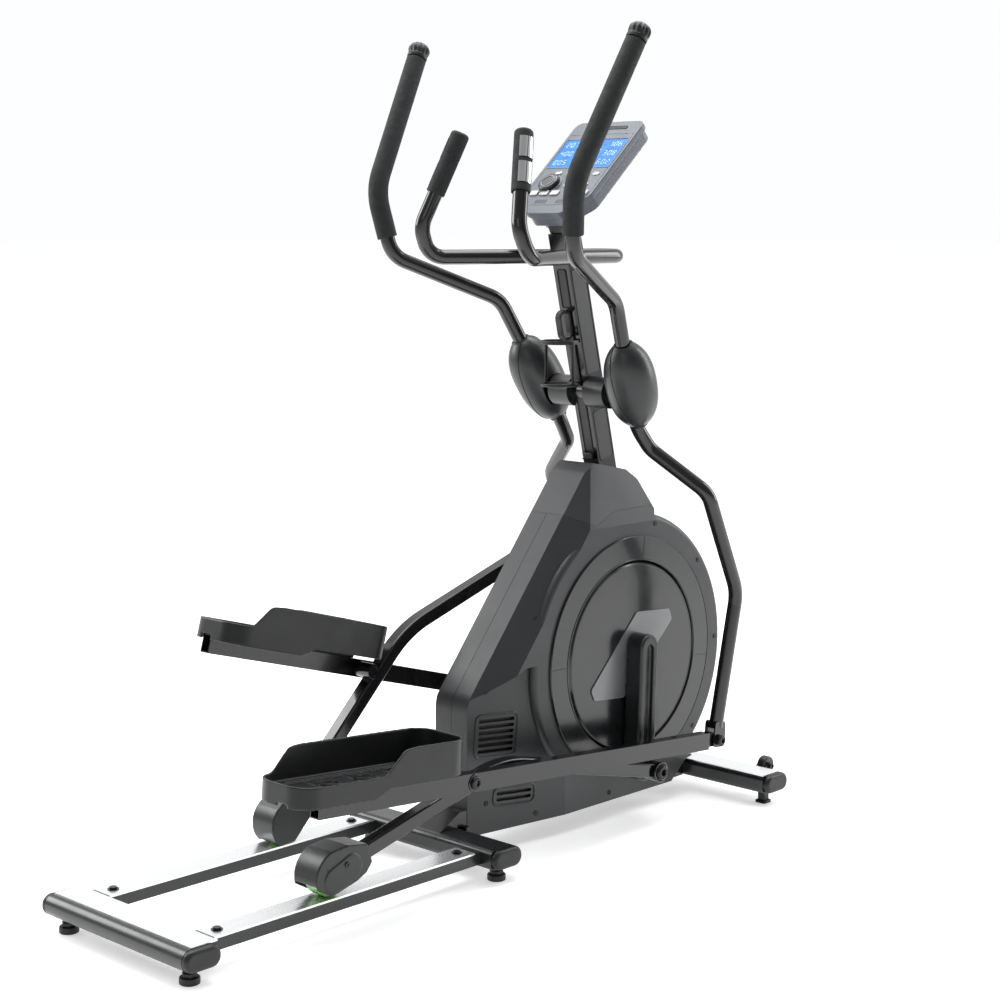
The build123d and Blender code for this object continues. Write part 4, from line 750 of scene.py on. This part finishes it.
def cover_details():
    """Collars where the tube leaves the egg covers, and the screws of the covers."""
    for word, side in SIDES.items():
        low, high = swung(COVER_LOW, word), swung(COVER_HIGH, word)
        along = (high - low).normalized()
        middle = (low + high) / 2
        bm = bmesh.new()
        flat_ring(*COLLAR_TOP, bm, axes(middle + along * COVER_REACH, along))
        flat_ring(*COLLAR_LOW, bm, axes(middle - along * COVER_REACH, -along))
        piece("cover_collars_" + word, bm, "swing_" + word, LOOKS["end_cap_plastic"])
        screws = bmesh.new()
        rear = (Vector((-1, 0, 0)) + along * along.x).normalized()
        out = (Vector((0, side, 0)) - along * (along.y * side)).normalized()
        for lift, turn, radius in COVER_SCREWS:
            angle = math.radians(turn)
            normal = rear * math.cos(angle) + out * math.sin(angle)
            spot = middle + along * lift + normal * radius
            lathe(COVER_SCREW, 24, screws, matrix=axes(spot, normal))
        piece("cover_screws_" + word, screws, "swing_" + word, SEAM_DARK)


SEAM_BAND, SEAM_STEP, SEAM_BEAD = 0.004, math.radians(6), 0.0011


def cover_seams():
    """Dark parting line where the inner and outer halves of each egg cover meet."""
    for word in SIDES:
        middle = (swung(COVER_LOW, word) + swung(COVER_HIGH, word)) / 2
        cloud = points_of("swing_cover_" + word)
        cloud = cloud[np.abs(cloud[:, 1] - middle.y) < SEAM_BAND]
        dx, dz = cloud[:, 0] - middle.x, cloud[:, 2] - middle.z
        angle, reach = np.arctan2(dz, dx), np.hypot(dx, dz)
        loop = []
        for low in np.arange(-math.pi, math.pi, SEAM_STEP):
            inside = (angle >= low) & (angle < low + SEAM_STEP)
            if inside.any():
                best = cloud[inside][reach[inside].argmax()]
                loop.append(Vector((best[0], middle.y, best[2])))
        bm = sweep(loop, SEAM_BEAD, steps=8, closed=True)
        piece("cover_seam_" + word, bm, "swing_" + word, SEAM_DARK)


# ---------------------------------------------------------------- mast
SIDE_PANELS = ((0.806, 0.916), (0.998, 1.228))  # lowest and highest point
REAR_RIDGES, CLIP_HEIGHT = ((0.812, 0.955), (1.140, 1.225)), 0.812
SIDE_PANEL_WIDTH, SIDE_PANEL_THICK, RIDGE_WIDTH, RIDGE_THICK = 0.045, 0.0024, 0.026, 0.0040
CLIP_SIZE = (0.014, 0.030, 0.016)


def mast_point(z, x_shift, y):
    """Point at a height, counted from the mast's slanting middle line."""
    share = (z - MAST_LOW.z) / (MAST_HIGH.z - MAST_LOW.z)
    return Vector((MAST_LOW.x + (MAST_HIGH.x - MAST_LOW.x) * share + x_shift, y, z))


def mast_trim():
    """Grey side panels, the ridges on the rear face and the clip at the housing."""
    lean = math.atan2(MAST_HIGH.x - MAST_LOW.x, MAST_HIGH.z - MAST_LOW.z)
    leaning = Matrix.Rotation(lean, 4, "Y")
    bm, ridge = bmesh.new(), bmesh.new()
    for side in SIDES.values():
        for z0, z1 in SIDE_PANELS:
            middle = mast_point((z0 + z1) / 2, 0.001, side * (MAST_HALF_Y + 0.0002))
            matrix = Matrix.Translation(middle) @ leaning @ Matrix.Rotation(math.pi / 2, 4, "X")
            size = (SIDE_PANEL_WIDTH, (z1 - z0) / math.cos(lean), SIDE_PANEL_THICK)
            slab(size, 0.0011, bm, matrix, corner=0.004)
    for z0, z1 in REAR_RIDGES:
        middle = mast_point((z0 + z1) / 2, -MAST_HALF_X - 0.0008, 0)
        matrix = Matrix.Translation(middle) @ leaning @ Matrix.Rotation(math.pi / 2, 4, "Y")
        size = ((z1 - z0) / math.cos(lean), RIDGE_WIDTH, RIDGE_THICK)
        slab(size, 0.0018, ridge, matrix, corner=0.006)
    clip = mast_point(CLIP_HEIGHT, -MAST_HALF_X - 0.006, 0)
    slab(CLIP_SIZE, 0.0025, ridge, Matrix.Translation(clip), corner=0.004)
    piece("mast_panels", bm, "frame", PANEL_GREY)
    piece("mast_ridge", ridge, "frame", LOOKS["end_cap_plastic"])


# ---------------------------------------------------------------- console
def console_matrix():
    tilt = math.radians(CONSOLE_TILT)
    up = Vector((math.cos(tilt), 0, math.sin(tilt)))
    across = Vector((0, 1, 0))
    matrix = Matrix((up, across, up.cross(across))).transposed().to_4x4()
    matrix.translation = CONSOLE_PLACE
    return matrix


# Places on the console's face, as up and left (u, v) from the middle of its upper part.
DISPLAY_LEVEL = 0.0017
DISPLAY_MIDDLE_U, DISPLAY_HALF_U, DISPLAY_HALF_V, DISPLAY_CORNER = 0.044, 0.0475, 0.0905, 0.006
NUMBER_COLUMNS = ((0.062, (2, 4, 0)), (-0.062, (1, 3, 6)))     # v of the middle digit, first digits
NUMBER_TOP_U, NUMBER_STEP, DIGIT_STEP, NUMBER_SIZE = 0.074, 0.029, 0.013, 0.0070
SMALL_ROW_U, SMALL_SIZE, DIGIT_THICK = 0.080, 0.0060, 0.0006
PROFILE_U, BARS_U, BAR_FOOT_U, BAR_FIRST_V, BAR_STEP = 0.046, 0.022, 0.034, 0.024, 0.006
KEY_ROW_U, KEY_VS = -0.086, (-0.076, -0.046, 0.006, 0.036, 0.066)
DOME_KEYS = ((-0.020, 0.040), (-0.020, 0.006), (-0.024, -0.070), (-0.060, -0.010), (-0.058, -0.060))
KEY_SIZE, DOME_SIZE = (0.0145, 0.0225, 0.0034), (0.010, 0.018, 0.0030)
DIAL_U, DIAL_V, DIAL_RIBS, DIAL_RIB_RADIUS = -0.058, 0.040, 24, 0.0238
DIAL_BASE_RING, DIAL_FACE_RING = (0.0290, 0.0035, 0.0022), (0.0170, 0.0025, 0.0012)
DIAL_RIB = (0.0012, 0.0028, 0.0090)
TOP_SLOT_U, LOW_SLOTS_U, LOW_SLOT_V, LOW_SLOT_STEP = 0.128, -0.112, 0.016, 0.007
TOP_SLOT, LOW_SLOT = (0.010, 0.120, 0.0016), (0.012, 0.0020, 0.0008)
TRIM_CORNERS = ((0.108, -0.090), (0.108, 0.090), (-0.100, 0.090), (-0.122, 0.060), (-0.122, -0.060),
                (-0.100, -0.090))
DIGITS = {0: "abcdef", 1: "bc", 2: "abged", 3: "abgcd", 4: "fgbc", 5: "afgcd", 6: "afgedc", 7: "abc",
          8: "abcdefg"}


def digit(bm, number, centre, size, place):
    """Seven-segment figure; up is local +X and the reader's right is local -Y."""
    half, long_side, thick = size / 2, size * 0.42, size * 0.09
    spots = {"a": (size, 0, False), "g": (0, 0, False), "d": (-size, 0, False), "b": (half, -half, True),
             "c": (-half, -half, True), "f": (half, half, True), "e": (-half, half, True)}
    for segment in DIGITS[number]:
        du, dv, upright = spots[segment]
        height, width = (long_side * 2, thick * 2) if upright else (thick * 2, long_side * 2)
        spot = place @ Matrix.Translation(centre + Vector((du, dv, 0)))
        slab((height, width, DIGIT_THICK), 0.0002, bm, spot, segments=1, corner=thick)


def console_display():
    """Generic digits, a profile of bars, and the frame round the display."""
    place = console_matrix()
    white, yellow, green, line = bmesh.new(), bmesh.new(), bmesh.new(), bmesh.new()
    for v, numbers in NUMBER_COLUMNS:
        for row, number in enumerate(numbers):
            u = NUMBER_TOP_U - NUMBER_STEP * row
            for order, figure in enumerate((number, 0, (number + 5) % 9)):
                spot = Vector((u, v + DIGIT_STEP * (1 - order), DISPLAY_LEVEL))
                digit(white, figure, spot, NUMBER_SIZE, place)
    for row in range(2):
        for figure, v in ((row + 1, 0.012), (5, -0.004)):
            digit(white, figure, Vector((SMALL_ROW_U, v - 0.001 * row, DISPLAY_LEVEL)), SMALL_SIZE, place)
    for bm, u, height in ((yellow, PROFILE_U, 0.026), (green, BARS_U, 0.018)):
        block = place @ Matrix.Translation((u, 0, DISPLAY_LEVEL - 0.0002))
        slab((height, 0.060, 0.0012), 0.0003, bm, block, corner=0.002)
    for i in range(9):
        height = 0.004 + 0.0016 * ((i * 5) % 9)
        spot = (BAR_FOOT_U + height / 2, BAR_FIRST_V - BAR_STEP * i, DISPLAY_LEVEL + 0.0004)
        slab((height, 0.0036, 0.0008), 0.0002, green, place @ Matrix.Translation(spot), segments=1)
    outline = rounded_corners(DISPLAY_HALF_U, DISPLAY_HALF_V, DISPLAY_CORNER, 6)
    border = [place @ Vector((u + DISPLAY_MIDDLE_U, v, 0.0021)) for u, v, _, _ in outline]
    sweep(border, 0.0010, line, steps=8, closed=True)
    piece("display_digits", white, "frame", DIGIT_WHITE)
    piece("display_profile", yellow, "frame", BLOCK_YELLOW)
    piece("display_bars", green, "frame", BLOCK_GREEN)
    piece("display_frame", line, "frame", PALE_LINE)


def console_keys():
    """Pale keys in a row, dome keys round the dial, the dial's ribs, the slots painted dark as shade, and
    the trim line.
    """
    place = console_matrix()
    keys, domes, trim, dark = bmesh.new(), bmesh.new(), bmesh.new(), bmesh.new()
    knurl, face_ring = bmesh.new(), bmesh.new()

    def at(u, v, lift):
        return place @ Matrix.Translation((u, v, lift))

    for v in KEY_VS:
        slab(KEY_SIZE, 0.0012, keys, at(KEY_ROW_U, v, 0.0045), corner=0.003)
    for u, v in DOME_KEYS:
        slab(DOME_SIZE, 0.0012, domes, at(u, v, 0.0028), corner=0.0048)
    dial = at(DIAL_U, DIAL_V, 0.0020)
    flat_ring(*DIAL_BASE_RING, trim, dial)
    flat_ring(*DIAL_FACE_RING, face_ring, at(DIAL_U, DIAL_V, 0.0134))
    for i in range(DIAL_RIBS):
        turn = Matrix.Rotation(2 * math.pi * i / DIAL_RIBS, 4, "Z")
        spot = dial @ turn @ Matrix.Translation((DIAL_RIB_RADIUS, 0, 0.0064))
        slab(DIAL_RIB, 0.0005, knurl, spot, segments=2)
    # The top slot is a dark slab on the face: painted shade where the opening is.
    slab(TOP_SLOT, 0.0005, dark, at(TOP_SLOT_U, 0, 0.0022), corner=0.004)
    line = []
    for (u, v), (next_u, next_v) in zip(TRIM_CORNERS, TRIM_CORNERS[1:] + TRIM_CORNERS[:1]):
        for step in range(8):
            share = step / 8
            line.append(place @ Vector((u + (next_u - u) * share, v + (next_v - v) * share, 0.0020)))
    sweep(line, 0.0008, trim, steps=8, closed=True)
    # The low slots are dark slabs too: painted shade where the openings are.
    for side in (-1, 1):
        for i in range(5):
            spot = at(LOW_SLOTS_U, side * (LOW_SLOT_V + LOW_SLOT_STEP * i), 0.0021)
            slab(LOW_SLOT, 0.0003, dark, spot, segments=1)
    piece("console_keys", keys, "frame", LOOKS["key_plastic"])
    piece("console_domes", domes, "frame", LOOKS["key_plastic"])
    piece("console_trim", trim, "frame", PALE_LINE)
    piece("console_slot_shade", dark, "frame", SEAM_DARK)
    piece("dial_knurl", knurl, "console_dial", SEAM_DARK)
    piece("dial_face_ring", face_ring, "console_dial", PALE_LINE)


# ---------------------------------------------------------------- base details
PAD_XS, PAD_Y = (-0.824, -0.047), 0.185
BLOCK_X, BLOCK_Y, BLOCK_WIDTH, SOLE_SIZE = 0.775, 0.247, 0.022, (0.030, 0.030, 0.006)


def levelling_feet():
    """Rubber pads with ribbed rims, a hex nut and a threaded stem; two block feet in front."""
    low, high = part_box("fixed_feet")
    bm = bmesh.new()
    pad = [(0.0170, 0), (0.0187, 0.0012), (0.0190, 0.0030), (0.0190, 0.0105), (0.0182, 0.0128),
           (0.0160, 0.0138), (0.0118, 0.0140), (0.0125, 0.0142), (0.0125, 0.0205), (0.0115, 0.0213),
           (0.0080, 0.0213)]
    thread = [(0.0080 if i % 2 else 0.0073, 0.0218 + 0.0008 * i) for i in range(11)]
    profile = pad + thread + [(0.0078, 0.0309)]
    rim_rings, nut_rings, ribs = (2, 3), (7, 8), 36

    def shape(i, angle):
        if i in rim_rings:
            return 1 - 0.018 * (0.5 + 0.5 * math.cos(ribs * angle))
        return hex_factor(angle) if i in nut_rings else 1.0

    for x in PAD_XS:
        for side in SIDES.values():
            lathe(profile, 144, bm, shape, Matrix.Translation((x, side * PAD_Y, 0)))
    for side in SIDES.values():
        block = Matrix.Translation((BLOCK_X, side * BLOCK_Y, (low.z + high.z) / 2))
        slab((BLOCK_WIDTH, BLOCK_WIDTH, high.z - low.z - 0.0001), 0.0016, bm, block, corner=0.004)
        sole = Matrix.Translation((BLOCK_X, side * BLOCK_Y, 0.0031))
        slab(SOLE_SIZE, 0.0018, bm, sole, corner=0.007)
    made = piece("feet", bm, "frame", LOOKS["end_cap_plastic"], sharp=30)
    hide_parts("fixed_feet")


WELDS = (((-0.007, 0.030, 0.070), (-0.007, -0.030, 0.070)),
         ((0.701, 0.030, 0.0905), (0.701, -0.030, 0.0905)),
         ((0.660, 0.0225, 0.0905), (0.625, 0.0225, 0.0905)),
         ((0.660, -0.0225, 0.0905), (0.625, -0.0225, 0.0905)))
BEAD_STEP, BEAD_RIPPLE, BEAD_WAVE, BEAD_RADIUS = 0.0015, 0.0006, 2.1, 0.0024


def weld_beads():
    """Rippled weld seams where the lower frame's members meet."""
    bm = bmesh.new()
    for ends in WELDS:
        start, end = Vector(ends[0]), Vector(ends[1])
        count = int((end - start).length / BEAD_STEP)
        points = []
        for i in range(count + 1):
            points.append(start.lerp(end, i / count) + Vector((0, 0, BEAD_RIPPLE * math.sin(BEAD_WAVE * i))))
        sweep(points, BEAD_RADIUS, bm, steps=8)
    piece("weld_beads", bm, "frame", LOOKS["frame_paint"])


WHEEL_RINGS, WHEEL_PIN_CAP = ((0.0175, 0.0022, 0.0008), (0.0095, 0.0030, 0.0010)), (0.0085, 0.0040)


def transport_hubs():
    """Rings on both faces of the transport wheels, and the caps of their pins."""
    for word, side in SIDES.items():
        centre = joint_place("transport_spin_" + word)
        bm = bmesh.new()
        for face in (-1, 1):
            place = axes(centre + Vector((0, face * WHEEL_HALF, 0)), (0, face, 0))
            for ring in WHEEL_RINGS:
                flat_ring(*ring, bm, place)
        piece("transport_hub_" + word, bm, "transport_wheel_" + word, LOOKS["wheel_plastic"])
        cap = Vector((centre.x, side * WHEEL_PIN_FACE, centre.z))
        socket_cap("transport_pin_" + word, cap, (0, side, 0), WHEEL_PIN_CAP, "frame")


# ---------------------------------------------------------------- setting
CAMERA_PLACE = Vector((-2.878, -2.918, 1.332))
CAMERA_HEADING, CAMERA_DROP, CAMERA_LENS = 43.885, 7.98, 72.16


def add_camera():
    heading, drop = math.radians(CAMERA_HEADING), math.radians(CAMERA_DROP)
    look = Vector((math.cos(heading) * math.cos(drop), math.sin(heading) * math.cos(drop), -math.sin(drop)))
    data = bpy.data.cameras.new("camera")
    data.lens = CAMERA_LENS
    data.sensor_width = 36
    camera = bpy.data.objects.new("camera", data)
    camera.location = CAMERA_PLACE
    camera.rotation_euler = look.to_track_quat("-Z", "Y").to_euler()
    bpy.context.scene.collection.objects.link(camera)
    bpy.context.scene.camera = camera


def area_light(name, place, target, size, power):
    data = bpy.data.lights.new(name, "AREA")
    data.shape = "RECTANGLE"
    data.size, data.size_y = size
    data.energy = power
    light = bpy.data.objects.new(name, data)
    light.location = place
    light.rotation_euler = (Vector(target) - Vector(place)).to_track_quat("-Z", "Y").to_euler()
    bpy.context.scene.collection.objects.link(light)


FLOOR_HALF, FLOOR_GLOW = 90, 0.44
BACKDROP_DIRECTION = (0.70, 0.68, 0.20)
BACKDROP_RANGE = (0.30, 1.0, -0.45, 0.62)       # dimmest and brightest, and where each is reached


def add_setting():
    """Pale floor, white surroundings and large soft lights."""
    bm = bmesh.new()
    bmesh.ops.create_grid(bm, x_segments=1, y_segments=1, size=FLOOR_HALF)
    mesh = bpy.data.meshes.new("floor")
    bm.to_mesh(mesh)
    bm.free()
    floor = bpy.data.objects.new("floor", mesh)
    pale = material("pale_floor", (0.86, 0.86, 0.86), 0.6, spread=0.01, patch=2.0, specular=0.2)
    floor.data.materials.append(lit(pale, (1, 1, 1), FLOOR_GLOW))
    bpy.context.scene.collection.objects.link(floor)
    add_world()
    area_light("top_softbox", (0.4, 0.5, 4.0), (0.1, 0.1, 0.4), (4.0, 3.0), 200)
    area_light("front_softbox", (3.6, -1.6, 2.2), (0.2, 0, 0.8), (1.0, 3.2), 70)
    area_light("far_softbox", (-1.8, 3.8, 2.6), (0, 0, 0.8), (2.4, 2.2), 120)
    area_light("camera_fill", (-3.0, -1.4, 2.6), (0, 0, 0.7), (1.6, 1.6), 10)
    bpy.context.scene.view_settings.view_transform = "Standard"


def add_world():
    """White surroundings behind the machine, dimmer on the near side, as in a studio."""
    world = bpy.data.worlds.new("studio")
    world.use_nodes = True
    tree = world.node_tree
    place = tree.nodes.new("ShaderNodeTexCoord")
    along = tree.nodes.new("ShaderNodeVectorMath")
    along.operation = "DOT_PRODUCT"
    along.inputs[1].default_value = BACKDROP_DIRECTION
    tree.links.new(place.outputs["Generated"], along.inputs[0])
    strength = remap(tree, along.outputs["Value"], *BACKDROP_RANGE)
    background = tree.nodes["Background"]
    background.inputs["Color"].default_value = (0.985, 0.992, 1.0, 1)
    tree.links.new(strength, background.inputs["Strength"])
    bpy.context.scene.world = world


# ---------------------------------------------------------------- build
moulded_parts()
foam_grips()
fluted_knobs()
vent_frames()
housing_screws()
disc_details()
crank_bolts()
pivot_caps()
roller_hubs()
tray_treads()
cover_details()
cover_seams()
mast_trim()
console_display()
console_keys()
levelling_feet()
weld_beads()
transport_hubs()
add_setting()
add_camera()
